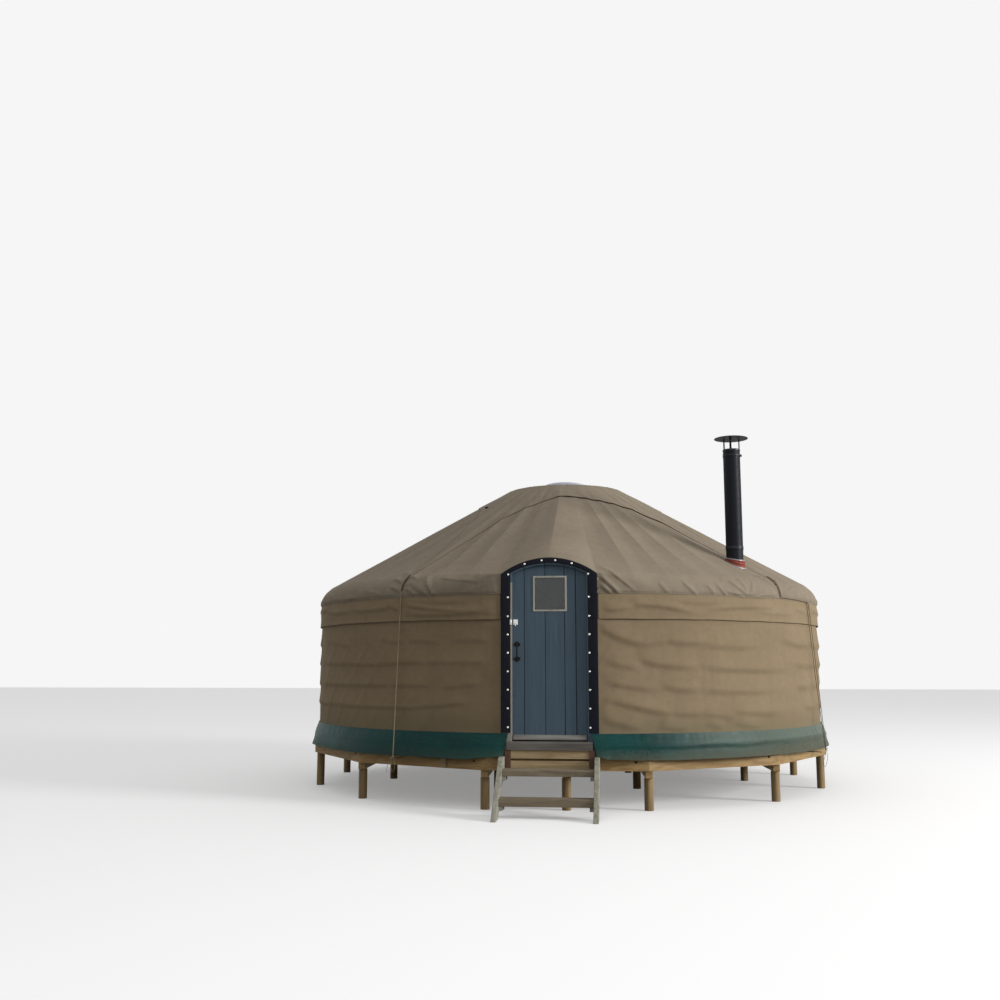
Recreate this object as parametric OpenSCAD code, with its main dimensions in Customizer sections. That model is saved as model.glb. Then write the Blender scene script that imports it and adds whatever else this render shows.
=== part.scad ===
// Canvas yurt on a twelve-sided timber deck, with an arched plank door, a crown dome and a stove flue.
// Millimetres. +Z is up, the origin is on the ground under the crown, and the door faces -Y.
// Azimuths are degrees from the door's centre line towards +X.

/* [Wall] */
// Outer radius of the wall canvas
wall_r = 3200; // [3190:1:3204]
// Height of the eave seam above the deck
eave_h = 1601; // [1560:1:1640]
// Thickness of canvas, felt and lining together
cover_t = 12; // [8:1:14]
// Depth of the valance below the eave seam
valance_h = 265; // [200:5:320]
// Height of the green skirt's top edge above the deck
skirt_rise = 161; // [120:1:200]
// Drop of the green skirt below the deck surface
skirt_drop = 98; // [60:1:130]

/* [Lattice] */
// Number of lattice panels round the wall
panel_count = 6; // [6:1:6]
// Diamonds across one panel
panel_diamonds = 8; // [6:1:9]
// Height between rows of crossings
row_pitch = 245; // [220:5:260]
// Height of the lattice above the deck
lattice_h = 1490; // [1400:5:1520]
// Width of a lath
lath_w = 30; // [24:1:36]
// Thickness of a lath
lath_t = 12; // [9:1:12]

/* [Roof] */
// Pitch of the roof poles
roof_pitch = 29.7; // [29:0.1:30]
// Radius of the rounded shoulder of the roof canvas
shoulder_r = 274; // [250:1:280]
// Diameter of a roof pole
pole_d = 34; // [28:1:36]
// Radius of the steam-bent lower end of a pole
pole_bend_r = 260; // [230:5:270]
// Outer radius of the crown ring
crown_r = 780; // [770:1:790]
// Radial width of the crown ring
crown_w = 80; // [70:1:90]
// Height of the crown ring
crown_h = 90; // [80:1:110]
// Rise of the lower set of crown slats
slat_rise = 40; // [34:1:44]

/* [Door] */
// Width of the door opening between the stops
opening_w = 780; // [760:5:800]
// Height above ground of the top of the arched opening
opening_top = 2515; // [2500:1:2520]
// Radius of the arched head of the opening
opening_arch_r = 848; // [830:1:870]
// Width across the door frame
frame_w = 1000; // [990:1:1010]
// Height above ground of the top of the frame
frame_top = 2581; // [2575:1:2590]
// Radius of the frame's arched top edge
frame_arch_r = 824; // [815:1:840]
// Thickness of the door boards
board_t = 22; // [18:1:24]
// Opening angle of the door leaf
door_angle = 0; // [0:1:110]

/* [Deck] */
// Height of the deck surface above the ground
deck_top = 610; // [600:1:620]
// Distance from the axis to the middle of each deck side
deck_mid_r = 3141; // [3130:1:3150]
// Azimuth of the front side's middle
deck_turn = 3; // [2:0.5:4]
// Thickness of the deck boards
deck_t = 25; // [20:1:32]
// Height of the joists and the rim boards
joist_h = 185; // [175:5:190]
// Distance of the outer pair of bearers from the deck's middle line
bearer_side = 2280; // [2200:10:2290]

/* [Flue] */
// Azimuth of the flue
flue_az = 48.25; // [47.6:0.05:48.9]
// Distance of the flue from the yurt's axis
flue_r = 2755; // [2700:5:2800]
// Outer diameter of the flue
flue_d = 195; // [180:1:200]
// Height above ground of the top of the flue
flue_top = 3962; // [3850:1:4000]

/* [Hidden] */
$fn = 64;

eave_z = deck_top + eave_h;
seat_gap = 0.3;
corner_z = eave_z + shoulder_r * tan((90 - roof_pitch) / 2);
roof_r = wall_r + cover_t + seat_gap;
door_half_az = asin((frame_w / 2 + 0.5) / (wall_r - cover_t));
roof_inner_r = 760;
roof_slope = tan(roof_pitch);
roof_top_z = corner_z + (roof_r - roof_inner_r) * roof_slope;
cover_drop = cover_t / cos(roof_pitch);

lattice_out = wall_r - cover_t - 4;
lattice_mid = lattice_out - lath_t;
lattice_in = lattice_mid - lath_t;
lattice_az = asin((frame_w / 2 + 0.5) / lattice_in);
panel_span = (360 - 2 * lattice_az) / panel_count;
diamond_az = panel_span / panel_diamonds;
lath_angle = atan(row_pitch / (lattice_mid * sin(diamond_az / 2)));
hood_az = lattice_az + 2 * diamond_az;

pole_r = lattice_in - pole_d / 2 - 0.5;
pole_offset = cover_t + 1 + pole_d / 2;
pole_corner_z = corner_z + (roof_r - pole_r) * roof_slope - pole_offset / cos(roof_pitch);
pole_turn = 90 - roof_pitch;
pole_arc_z = pole_corner_z - pole_bend_r * tan(pole_turn / 2);
pole_tail_z = deck_top + 1420;
pole_count = panel_count * panel_diamonds;
peg_w = 18;
slat_w = 30;
slat_t = 16;
slat_seat = 45;
slat_end = crown_r - crown_w / 2 - 12;
slat_rows = [-90, 0, 90];
peg_z = pole_corner_z + (pole_r - crown_r) * roof_slope - 11;
crown_top_z = corner_z + (roof_r - crown_r) * roof_slope - cover_drop - 1.5;

frame_front = -3175;
frame_back = -3085;
stop_back = -3136;
leaf_front = -3130;
ledge_t = 18;
leaf_back = leaf_front + board_t + ledge_t;
leaf_over = 12;
leaf_gap = 8;
head_z = 2330;
sill_top = 695;
leaf_bottom = 705;
trim_t = 6;
trim_split_z = eave_z - valance_h;
hinge_x = opening_w / 2 + leaf_over + leaf_gap / 2 + 0.5;
hinge_y = frame_back + 8.5;
hinge_h = 100;
hinge_zs = [900, 1560, 2220];
window_c = [7, 2211.5];
window_size = [334, 351];

deck_corner_r = deck_mid_r / cos(15);
bearer_w = 75;
bearer_h = 75;
post_d = 95;
rim_t = 45;
rim_z = deck_top - deck_t - joist_h;
stringer_x = 460;
stringer_t = 50;
riser_front = -3225;

cap_tips = [-31, 51.8, 139, 229];
flue_x = flue_r * sin(flue_az);
flue_y = -flue_r * cos(flue_az);
flue_roof_z = corner_z + (roof_r - flue_r) * roof_slope;
flue_low_z = flue_roof_z - 300;
flue_bore_r = 75;

module at_az(a) { rotate([0, 0, a - 90]) children(); }

// A ring segment of rectangular section, from azimuth a0 to a1
module ring_segment(r0, r1, z0, z1, a0, a1) {
    at_az(a0) rotate_extrude(angle = a1 - a0, $fn = 180)
        translate([r0, z0]) square([r1 - r0, z1 - z0]);
}

// An outline in the door's plane, given as x and z, thickened from y0 to y1
module door_plane(y0, y1) {
    translate([0, y1, 0]) rotate([90, 0, 0]) linear_extrude(y1 - y0) children();
}

// The arched outline of an opening or leaf: width, lowest height, height of the top, radius of the arch
module arched(w, z0, top, r) {
    intersection() {
        translate([-w / 2, z0]) square([w, top - z0 + 10]);
        union() {
            translate([0, top - r]) circle(r, $fn = 180);
            translate([-r, 0]) square([2 * r, top - r]);
        }
    }
}

function mix(a, b, t) = a + (b - a) * t;
function ease(t) = t * t * (3 - 2 * t);
function polar(r, a, z) = [r * sin(a), -r * cos(a), z];
function arch_z(x) = frame_top - frame_arch_r + sqrt(pow(frame_arch_r, 2) - x * x);

// The roof canvas in section: up from z0, round the shoulder and along a straight line to the crown
function roof_section(rc, hc, rho, z0, top_z, steps, rests) =
    let (m = (top_z - hc) / (rc - roof_inner_r), turn = 90 - atan(m))
    concat([[rc, z0]],
        [for (i = [0 : steps])
            let (b = turn * i / steps)
            [rc - rho + rho * cos(b), hc - rho * tan(turn / 2) + rho * sin(b)]],
        [for (f = rests) [mix(rc, roof_inner_r, f), mix(hc, top_z, f)]], [[roof_inner_r, top_z]]);

// A closed skin between two grids of points with the same rows and columns
module skin(outer, inner) {
    rows = len(outer);
    cols = len(outer[0]);
    n = rows * cols;
    points = concat([for (row = outer) for (p = row) p], [for (row = inner) for (p = row) p]);
    function at(i, j) = i * cols + j;
    faces = concat(
        [for (i = [0 : rows - 2]) for (j = [0 : cols - 2]) [at(i, j), at(i, j + 1), at(i + 1, j + 1)]],
        [for (i = [0 : rows - 2]) for (j = [0 : cols - 2]) [at(i, j), at(i + 1, j + 1), at(i + 1, j)]],
        [for (i = [0 : rows - 2]) for (j = [0 : cols - 2])
            [n + at(i, j), n + at(i + 1, j + 1), n + at(i, j + 1)]],
        [for (i = [0 : rows - 2]) for (j = [0 : cols - 2])
            [n + at(i, j), n + at(i + 1, j), n + at(i + 1, j + 1)]],
        [for (j = [0 : cols - 2]) [at(0, j), n + at(0, j + 1), at(0, j + 1)]],
        [for (j = [0 : cols - 2]) [at(0, j), n + at(0, j), n + at(0, j + 1)]],
        [for (j = [0 : cols - 2]) [at(rows - 1, j), at(rows - 1, j + 1), n + at(rows - 1, j + 1)]],
        [for (j = [0 : cols - 2]) [at(rows - 1, j), n + at(rows - 1, j + 1), n + at(rows - 1, j)]],
        [for (i = [0 : rows - 2]) [at(i, 0), at(i + 1, 0), n + at(i + 1, 0)]],
        [for (i = [0 : rows - 2]) [at(i, 0), n + at(i + 1, 0), n + at(i, 0)]],
        [for (i = [0 : rows - 2])
            [at(i, cols - 1), n + at(i + 1, cols - 1), at(i + 1, cols - 1)]],
        [for (i = [0 : rows - 2])
            [at(i, cols - 1), n + at(i, cols - 1), n + at(i + 1, cols - 1)]]);
    polyhedron(points, faces);
}

// The twelve-sided outline of the deck, moved in by d
module deck_outline(d = 0) {
    rotate(deck_turn - 90 + 15) circle((deck_mid_r - d) / cos(15), $fn = 12);
}

// Places things in the deck's own turned frame, where the bearers run along Y
module deck_frame() { rotate([0, 0, deck_turn]) children(); }

function bearer_half(u) =
    u < deck_mid_r * tan(15) ? deck_mid_r
    : u < deck_corner_r * sin(45) ? (deck_mid_r - u * sin(30)) / cos(30)
    : (deck_mid_r - u * sin(60)) / cos(60);

bearer_mid = deck_corner_r * sin(15);
bearer_us = [-bearer_side, -bearer_mid, 0, bearer_mid, bearer_side];
post_rows = [[0, [-3050, -1500, 1500, 3050]],
             [bearer_mid, [-3030, -1000, 1000, 3030]], [-bearer_mid, [-3030, -1000, 1000, 3030]],
             [bearer_side, [-2170, 0, 2170]], [-bearer_side, [-2170, 0, 2170]]];
side_posts = [[3070, 815], [3070, -815], [-3070, 815], [-3070, -815]];

module post(h) {
    cylinder(h = h - 6, d = post_d);
    translate([0, 0, h - 6]) cylinder(h = 6, d1 = post_d, d2 = post_d - 12);
}

module centre_post() { color("peru") post(rim_z - bearer_h); }

module deck_posts() {
    color("peru") deck_frame() {
        for (row = post_rows) for (v = row[1]) translate([row[0], v, 0]) post(rim_z - bearer_h);
        for (p = side_posts) translate([p[0], p[1], 0]) post(rim_z);
    }
}

module deck_bearers() {
    color("burlywood") deck_frame() for (u = bearer_us) {
        half = bearer_half(abs(u) + bearer_w / 2) - 4;
        translate([u - bearer_w / 2, -half, rim_z - bearer_h]) cube([bearer_w, 2 * half, bearer_h]);
    }
}

module deck_joists() {
    joist_w = 47;
    joist_pitch = 400;
    color("burlywood") intersection() {
        deck_frame() for (i = [-7 : 7])
            translate([-3400, i * joist_pitch - joist_w / 2, rim_z]) cube([6800, joist_w, joist_h]);
        translate([0, 0, rim_z]) linear_extrude(joist_h) deck_outline(rim_t + 1);
    }
}

module deck_rim() {
    half = deck_mid_r * tan(15) - 0.5;
    half_in = (deck_mid_r - rim_t) * tan(15) - 0.5;
    color("tan") for (k = [0 : 11])
        at_az(deck_turn + 30 * k) translate([0, 0, rim_z]) linear_extrude(joist_h - seat_gap)
            polygon([[deck_mid_r - rim_t, -half_in], [deck_mid_r, -half],
                     [deck_mid_r, half], [deck_mid_r - rim_t, half_in]]);
}

module deck_floor() {
    color("burlywood") translate([0, 0, deck_top - deck_t]) linear_extrude(deck_t) deck_outline();
}

// What stands against the deck is cut back to its side
module cut_to_deck() {
    difference() {
        children();
        translate([0, 0, rim_z - 200]) linear_extrude(deck_top - rim_z + 200) deck_outline(-seat_gap);
    }
}

module step_stringers() {
    board = [[-3000, 547], [-3370, 547], [-4020, 0], [-3800, 0], [-3255, 400], [-3000, 400]];
    cleat_w = 40;
    color("darkkhaki") cut_to_deck() for (side = [-1, 1]) {
        x0 = side < 0 ? -stringer_x - stringer_t : stringer_x;
        translate([x0, 0, 0]) rotate([90, 0, 90]) linear_extrude(stringer_t) polygon(board);
        c0 = side < 0 ? -stringer_x : stringer_x - cleat_w;
        translate([c0, -3470, 333]) cube([cleat_w, 150, 40]);
        translate([c0, -3770, 76]) cube([cleat_w, 160, 40]);
    }
}

module tread(y0, y1, z0, z1) {
    color("darkkhaki") difference() {
        translate([-stringer_x, y0, z0]) cube([2 * stringer_x, y1 - y0, z1 - z0]);
        translate([-stringer_x - 1, y0, z1]) rotate([45, 0, 0]) translate([0, -4, -4])
            cube([2 * stringer_x + 2, 8, 8]);
    }
}

module step_treads() {
    tread(-3775, -3585, 116, 189);
    tread(-3475, -3290, 373, 437);
}

module step_blocks() {
    color("saddlebrown") cut_to_deck() for (side = [-1, 1])
        translate([side < 0 ? -456 : 400, riser_front, 380]) cube([56, 200, deck_top - 380]);
}

module step_risers() {
    color("burlywood") {
        translate([-400, riser_front + 10, 526]) cube([800, 22, 84]);
        translate([-400, riser_front + 10, 410]) cube([800, 22, 94]);
    }
}

module door_sill() {
    sill_w = opening_w;
    back_w = sill_w + 2 * (leaf_over + leaf_gap);
    nose = [[frame_front - 60, deck_top + 1], [frame_front, deck_top + 1], [frame_front, sill_top],
            [frame_front - 36, sill_top - 6], [frame_front - 60, sill_top - 18]];
    color("gray") {
        translate([-sill_w / 2, frame_front, deck_top])
            cube([sill_w, frame_back - frame_front, sill_top - deck_top]);
        translate([-back_w / 2, stop_back, deck_top])
            cube([back_w, frame_back - stop_back, sill_top - deck_top]);
        translate([-438, 0, 0]) rotate([90, 0, 90]) linear_extrude(876) polygon(nose);
    }
}

module frame_outline(z0) { arched(frame_w, z0, frame_top, frame_arch_r); }

module opening_outline(grow) {
    arched(opening_w + 2 * grow, 0, opening_top + grow, opening_arch_r + grow);
}

module frame_timber(z0, z1) {
    difference() {
        door_plane(frame_front, frame_back) intersection() {
            frame_outline(z0);
            translate([-frame_w, z0]) square([2 * frame_w, z1 - z0]);
        }
        door_plane(frame_front - 1, stop_back + 1) opening_outline(0);
        door_plane(stop_back, frame_back + 1) opening_outline(leaf_over + leaf_gap);
    }
}

module door_jambs() { color("lightslategray") frame_timber(deck_top, head_z - 0.5); }

module door_head() { color("lightslategray") frame_timber(head_z, frame_top); }

module trim(z0, z1) {
    door_plane(frame_front - trim_t, frame_front) difference() {
        intersection() {
            arched(frame_w + 10, z0, frame_top + 5, frame_arch_r + 5);
            translate([-frame_w, z0]) square([2 * frame_w, z1 - z0]);
        }
        opening_outline(15);
    }
}

module trim_lower() { color("black") trim(780, trim_split_z - 2); }

module trim_arch() { color("black") trim(trim_split_z + 2, frame_top + 5); }

// One panel of lattice: an outer and an inner layer of laths that cross on a regular grid of rows
module lattice_panel(k) {
    a0 = lattice_az + k * panel_span;
    foot = deck_top;
    mid_z = deck_top + 155 + 3 * row_pitch;
    color("sandybrown") for (layer = [-1, 1]) intersection() {
        ring_segment(layer < 0 ? lattice_in : lattice_mid - 1, layer < 0 ? lattice_mid : lattice_out,
            foot, foot + lattice_h, a0 + 0.01, a0 + panel_span - 0.01);
        union() for (i = [-4 : panel_diamonds + 4])
            at_az(a0 + (i + 0.5) * diamond_az) translate([lattice_mid, 0, mid_z])
                rotate([layer * (90 - lath_angle), 0, 0])
                    cube([90, lath_w, 2.4 * lattice_h], center = true);
    }
}

wall_seams = [door_half_az, 30, 90, 150, 210, 270, 330, 360 - door_half_az];

module wall_panel(k) {
    color("darkkhaki") ring_segment(wall_r - cover_t, wall_r, deck_top + skirt_rise, eave_z - 6,
        wall_seams[k] + 0.01, wall_seams[k + 1] - 0.01);
}

function deck_reach(a) =
    let (b = (((a - deck_turn + 15) % 30) + 30) % 30 - 15)
    deck_mid_r / cos(b);

// The skirt hangs from the wall's lower edge and stands out round the deck's corners
module skirt(a0, a1) {
    skirt_t = 4;
    low_r = deck_corner_r + 29;
    top_z = deck_top + skirt_rise + 4;
    low_z = deck_top - skirt_drop;
    color("darkslategray") at_az(a0) rotate_extrude(angle = a1 - a0, $fn = 180)
        polygon([[wall_r + 8, top_z], [wall_r + 8 + skirt_t, top_z],
                 [low_r + skirt_t, low_z], [low_r, low_z]]);
}

module skirt_left() { skirt(180.01, 360 - 9.3); }

module skirt_right() { skirt(9.3, 179.99); }

module valance() {
    color("darkkhaki") ring_segment(wall_r + seat_gap, roof_r, eave_z - valance_h, eave_z - seat_gap,
        door_half_az + 0.2, 360 - door_half_az - 0.2);
}

// Over the door the canvas rises to the arched frame and runs straight back to the crown
function signed(a) = (a + 540) % 360 - 180;
function hood_share(a) =
    abs(a) <= door_half_az ? 0 : ease((abs(a) - door_half_az) / (hood_az - door_half_az));
function hood_head(a) = arch_z(min(abs(frame_front * tan(a)), frame_w / 2)) + cover_t + 3;
function hood_r(a) = mix(-frame_front / cos(min(abs(a), door_half_az)), roof_r, hood_share(a));
function hood_corner(a) = mix(hood_head(a), corner_z, hood_share(a));
function hood_slope(a) = (roof_top_z - hood_corner(a)) / (hood_r(a) - roof_inner_r);

function hood_section(a, t) =
    let (drop = t * cover_drop / cover_t)
    roof_section(hood_r(a) - t, hood_corner(a) + t * hood_slope(a) - drop,
        mix(4 + cover_t, shoulder_r, hood_share(a)) - t,
        abs(a) <= door_half_az ? hood_head(a) - cover_t : eave_z, roof_top_z - drop, 5,
        [0.3, 0.55, 0.75, 0.82, 0.88, 0.94]);

module roof_over_door() {
    side_steps = 10;
    head_steps = 9;
    side = concat([door_half_az + 0.05],
        [for (i = [1 : side_steps]) mix(door_half_az, hood_az, i / side_steps)]);
    angles = concat([for (i = [side_steps : -1 : 0]) -side[i]],
        [for (i = [-head_steps : head_steps]) i * door_half_az / head_steps], side);
    color("darkkhaki") skin(
        [for (a = angles) [for (p = hood_section(a, 0)) polar(p[0], a, p[1])]],
        [for (a = angles) [for (p = hood_section(a, cover_t)) polar(p[0], a, p[1])]]);
}

function reversed(list) = [for (i = [len(list) - 1 : -1 : 0]) list[i]];

module roof_panel(k) {
    span = (360 - 2 * hood_az) / 5;
    outer = roof_section(roof_r, corner_z, shoulder_r, eave_z, roof_top_z, 8, []);
    inner = roof_section(roof_r - cover_t, corner_z + cover_t * roof_slope - cover_drop,
        shoulder_r - cover_t, eave_z, roof_top_z - cover_drop, 8, []);
    outline = concat([for (i = [1 : len(outer) - 1]) outer[i]],
        reversed([for (i = [1 : len(inner) - 1]) inner[i]]), [inner[0], outer[0]]);
    color("darkkhaki") difference() {
        at_az(hood_az + k * span + 0.01) rotate_extrude(angle = span - 0.02, $fn = 180) polygon(outline);
        translate([flue_x, flue_y, flue_low_z]) cylinder(h = 600, r = flue_d / 2 + 12);
    }
}

// An eight-sided bar of the poles' size, with its flats facing the canvas
module pole_section(grow) { rotate(22.5) circle(d = (pole_d + grow) / cos(22.5), $fn = 8); }

// A pole: straight tail against the lattice, steam-bent shoulder, rafter and a square peg in the crown
module bent_pole() {
    splice = 2;
    bend_x = pole_r - pole_bend_r;
    run = (pole_r - pole_bend_r * (1 - cos(pole_turn)) - crown_r) / cos(roof_pitch);
    translate([pole_r, 0, pole_tail_z]) linear_extrude(pole_arc_z - pole_tail_z + splice) pole_section(0.6);
    translate([bend_x, 0, pole_arc_z]) {
        rotate([90, 0, 0]) rotate_extrude(angle = pole_turn, $fn = 96)
            translate([pole_bend_r, 0]) pole_section(0);
        rotate([0, -pole_turn, 0]) translate([pole_bend_r, 0, -splice])
            linear_extrude(run + splice - 12) pole_section(0.6);
    }
    crown_peg();
}

module crown_peg() {
    translate([crown_r - 38, -peg_w / 2, peg_z - peg_w / 2]) cube([62, peg_w, peg_w]);
}

module roof_poles() {
    color("sandybrown") for (i = [1 : pole_count - 1]) at_az(lattice_az + i * diamond_az) bent_pole();
}

// The poles over the door are straight and spring from the back of the arched head
door_pole_azs = [-8.75, 0, 8.75];

module door_poles() {
    inset = 25;
    top_z = pole_corner_z + (pole_r - crown_r) * roof_slope;
    color("sandybrown") for (a = door_pole_azs) {
        foot_r = -frame_back / cos(a);
        foot_z = arch_z(foot_r * sin(a)) - (a == 0 ? 23 : 45);
        rise = atan((top_z - foot_z) / (foot_r - crown_r));
        run = (foot_r - crown_r) / cos(rise);
        difference() {
            at_az(a) translate([foot_r, 0, foot_z]) rotate([0, rise - 90, 0]) translate([0, 0, -inset])
                cylinder(h = run + 2 * inset, d = pole_d, $fn = 24);
            at_az(a) translate([crown_r - 99, -50, crown_top_z - 200]) cube([100, 100, 400]);
            translate([-600, frame_back - 100, foot_z - 100]) cube([1200, 100, 200]);
        }
        at_az(a) crown_peg();
    }
}

module crown_ring() {
    color("burlywood") difference() {
        rotate_extrude($fn = 120) translate([crown_r - crown_w, crown_top_z - crown_h])
            square([crown_w, crown_h]);
        for (i = [1 : pole_count - 1]) at_az(lattice_az + i * diamond_az) peg_mortise();
        for (a = door_pole_azs) at_az(a) peg_mortise();
        slat_mortises();
    }
}

// Pockets in the ring's inner face that hold the ends of the slats
module slat_mortises() {
    intersection() {
        for (set = [0, 1], y = slat_rows, side = [0, 180]) rotate([0, 0, 45 + 90 * set + side])
            translate([slat_end - 45, y - slat_w / 2 - 0.3, crown_top_z - slat_seat - 0.3])
                cube([50, slat_w + 0.6, 23.3]);
        cylinder(h = 6000, r = slat_end + 3.4, $fn = 120);
    }
}

module peg_mortise() {
    w = peg_w + 0.8;
    translate([crown_r - 39, -w / 2, peg_z - w / 2]) cube([60, w, w]);
}

// Two sets of three bent slats cross over the crown, one set on top of the other
module crown_slats() {
    color("burlywood") intersection() {
        union() for (set = [0, 1]) {
            rise = slat_rise + set * slat_t;
            arc_r = (slat_end * slat_end + rise * rise) / (2 * rise);
            rotate([0, 0, 45 + 90 * set]) for (y = slat_rows)
                translate([0, y + slat_w / 2, crown_top_z - slat_seat + rise - arc_r]) rotate([90, 0, 0])
                    linear_extrude(slat_w) intersection() {
                        difference() {
                            circle(arc_r + slat_t, $fn = 360);
                            circle(arc_r, $fn = 360);
                        }
                        translate([-slat_end, arc_r - rise]) square([2 * slat_end, rise + slat_t + 1]);
                    }
        }
        cylinder(h = 6000, r = slat_end + 3, $fn = 120);
    }
}

module crown_dome() {
    rim_r = 380;
    rim_z = crown_top_z + 32;
    rise = 127;
    steps = 8;
    dome_t = 5;
    curve = [for (i = [0 : steps]) let (r = rim_r * (1 - i / steps))
        [r, rim_z + rise * (1 - pow(r / rim_r, 2))]];
    under = [for (i = [0 : steps]) let (r = (rim_r - dome_t) * i / steps)
        [r, rim_z - dome_t + rise * (1 - pow(r / (rim_r - dome_t), 2))]];
    color("white", 0.6) rotate_extrude($fn = 96)
        polygon(concat([[rim_r + 60, rim_z - 18], [rim_r + 60, rim_z - 12], [rim_r, rim_z - 12]],
            curve, under, [[rim_r - dome_t, rim_z - 18]]));
}

// The star-shaped canvas cap: four points drawn down to the eave, with hollow edges between them
function tip_gap(a) = min([for (t = cap_tips) abs(signed(a - t))]);
function cap_reach(a) = 1000 + 8000 / (tip_gap(a) + 3.87);
function roof_z(r, a) =
    r > roof_inner_r && abs(signed(a)) < hood_az ? roof_top_z - (r - roof_inner_r) * hood_slope(signed(a))
    : r > roof_inner_r ? roof_top_z - (r - roof_inner_r) * roof_slope
    : roof_top_z - (roof_inner_r - r) * 0.025;

module crown_cap() {
    inner_r = 395;
    lift = 3.5;
    cap_t = 6;
    near = [0, 0.2, 0.45, 0.8, 1.3, 2];
    step = 2;
    function side_angles(span) = concat(near, [for (a = [2 * step : step : span / 2 - step / 2]) a]);
    angles = [for (i = [0 : 3])
        let (span = (i < 3 ? cap_tips[i + 1] : cap_tips[0] + 360) - cap_tips[i], side = side_angles(span))
        each concat([for (a = side) cap_tips[i] + a], [cap_tips[i] + span / 2],
            [for (k = [len(side) - 1 : -1 : 1]) cap_tips[i] + span - side[k]])];
    closed = concat(angles, [cap_tips[0] + 359.999]);
    function row_radii(a) = concat([inner_r, 600, roof_inner_r + 3],
        [for (f = [0.2, 0.4, 0.6, 0.8, 1]) mix(roof_inner_r, cap_reach(a), f)]);
    function cap_row(up) = [for (a = closed) [for (r = row_radii(a)) polar(r, a, roof_z(r, a) + up)]];
    color("darkkhaki") skin(cap_row(lift + cap_t), cap_row(lift));
}

rope_d = 12;
rope_low_r = deck_corner_r + 64;
hook_z = rim_z + 85;

// A taut rope runs from each point of the cap over the shoulder, and down to a hook in the deck's rim.
// The one beside the flue first follows the eave seam.
rope_falls = [cap_tips[0], 64.5, cap_tips[2], cap_tips[3]];

module cap_ropes() {
    over_r = shoulder_r + seat_gap + rope_d / 2;
    top_r = roof_r - shoulder_r + over_r;
    run = eave_z - hook_z;
    lean = atan((rope_low_r - top_r) / run);
    color("wheat") {
        for (a = cap_tips) at_az(a) translate([roof_r - shoulder_r, 0, eave_z]) rotate([90, 0, 0])
            rotate_extrude(angle = 60, $fn = 96) translate([over_r, 0]) circle(d = rope_d, $fn = 8);
        for (a = rope_falls) at_az(a) translate([top_r, 0, eave_z + 3]) rotate([0, 180 - lean, 0])
            cylinder(h = run / cos(lean) - 3, d = rope_d + 0.6, $fn = 8);
        at_az(cap_tips[1] - 0.1) translate([0, 0, eave_z])
            rotate_extrude(angle = rope_falls[1] - cap_tips[1] + 0.2, $fn = 180)
                translate([top_r, 0]) circle(d = rope_d - 0.6, $fn = 8);
    }
}

module rope_hooks() {
    color("dimgray") cut_to_deck() for (a = rope_falls) at_az(a)
        translate([deck_reach(a) - 5, 0, hook_z]) rotate([0, 90, 0])
            cylinder(h = rope_low_r + 15 - deck_reach(a), d = 10, $fn = 16);
}

module tension_band() {
    color("beige") ring_segment(lattice_out + seat_gap, lattice_out + 3, deck_top + 1435, deck_top + 1475,
        lattice_az + 0.2, 360 - lattice_az - 0.2);
}

module at_flue(z) { translate([flue_x, flue_y, z]) children(); }

module flue_pipe() {
    joint_zs = [2780, 3868];
    color("black") difference() {
        union() {
            at_flue(flue_low_z) cylinder(h = flue_top - flue_low_z, d = flue_d);
            for (z = joint_zs) at_flue(z) cylinder(h = 42, d = flue_d + 6);
        }
        at_flue(flue_low_z - 1) cylinder(h = flue_top - flue_low_z + 2, r = flue_bore_r);
    }
}

module flue_flashing() {
    color("firebrick") difference() {
        at_flue(flue_roof_z - 70) cylinder(h = 150, r1 = 118, r2 = flue_d / 2 + 4);
        at_flue(flue_roof_z - 300) cylinder(h = 600, r = flue_d / 2 + seat_gap);
        at_flue(flue_roof_z + 0.5) rotate([0, 0, flue_az - 90]) rotate([0, roof_pitch, 0])
            translate([0, 0, -400]) cylinder(h = 400, r = 400);
    }
}

module flue_cowl() {
    cowl_r = 194;
    cowl_z = flue_top + 128;
    leg_z = flue_top - 40;
    color("black") {
        at_flue(cowl_z) cylinder(h = 4, r = cowl_r);
        at_flue(cowl_z + 4) cylinder(h = 26, r1 = cowl_r - 6, r2 = 12);
        for (a = [0 : 120 : 240]) at_flue(leg_z) rotate([0, 0, a + 20])
            translate([flue_d / 2, -12, 0]) cube([4, 24, cowl_z - leg_z]);
    }
}

// A steel ring under the roof with two arms that bear on the poles beside the flue
module flue_bracket() {
    arm_t = 5;
    under_poles = 3.3;
    arm_z = pole_corner_z + (pole_r - flue_r) * roof_slope - (pole_d + 0.6) / 2 / cos(roof_pitch);
    span = flue_r * sin(diamond_az / 2) + 30;
    color("dimgray") difference() {
        union() {
            at_flue(arm_z - 66) cylinder(h = 60, r = flue_d / 2 + 5);
            at_flue(arm_z) rotate([0, 0, flue_az - 90]) rotate([0, roof_pitch, 0])
                translate([-15, -span, -arm_t - under_poles]) cube([30, 2 * span, arm_t]);
        }
        at_flue(arm_z - 200) cylinder(h = 400, r = flue_d / 2 + seat_gap);
    }
}

module swing() {
    translate([hinge_x, hinge_y, 0]) rotate([0, 0, -door_angle])
        translate([-hinge_x, -hinge_y, 0]) children();
}

module leaf_outline(grow = 0) {
    intersection() {
        opening_outline(leaf_over + grow);
        translate([-opening_w, leaf_bottom]) square([2 * opening_w, 2500]);
    }
}

module window_rect(grow) {
    translate([window_c[0] - window_size[0] / 2 - grow, window_c[1] - window_size[1] / 2 - grow])
        square([window_size[0] + 2 * grow, window_size[1] + 2 * grow]);
}

board_joints = [-264, -44, 158, 276];

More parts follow.
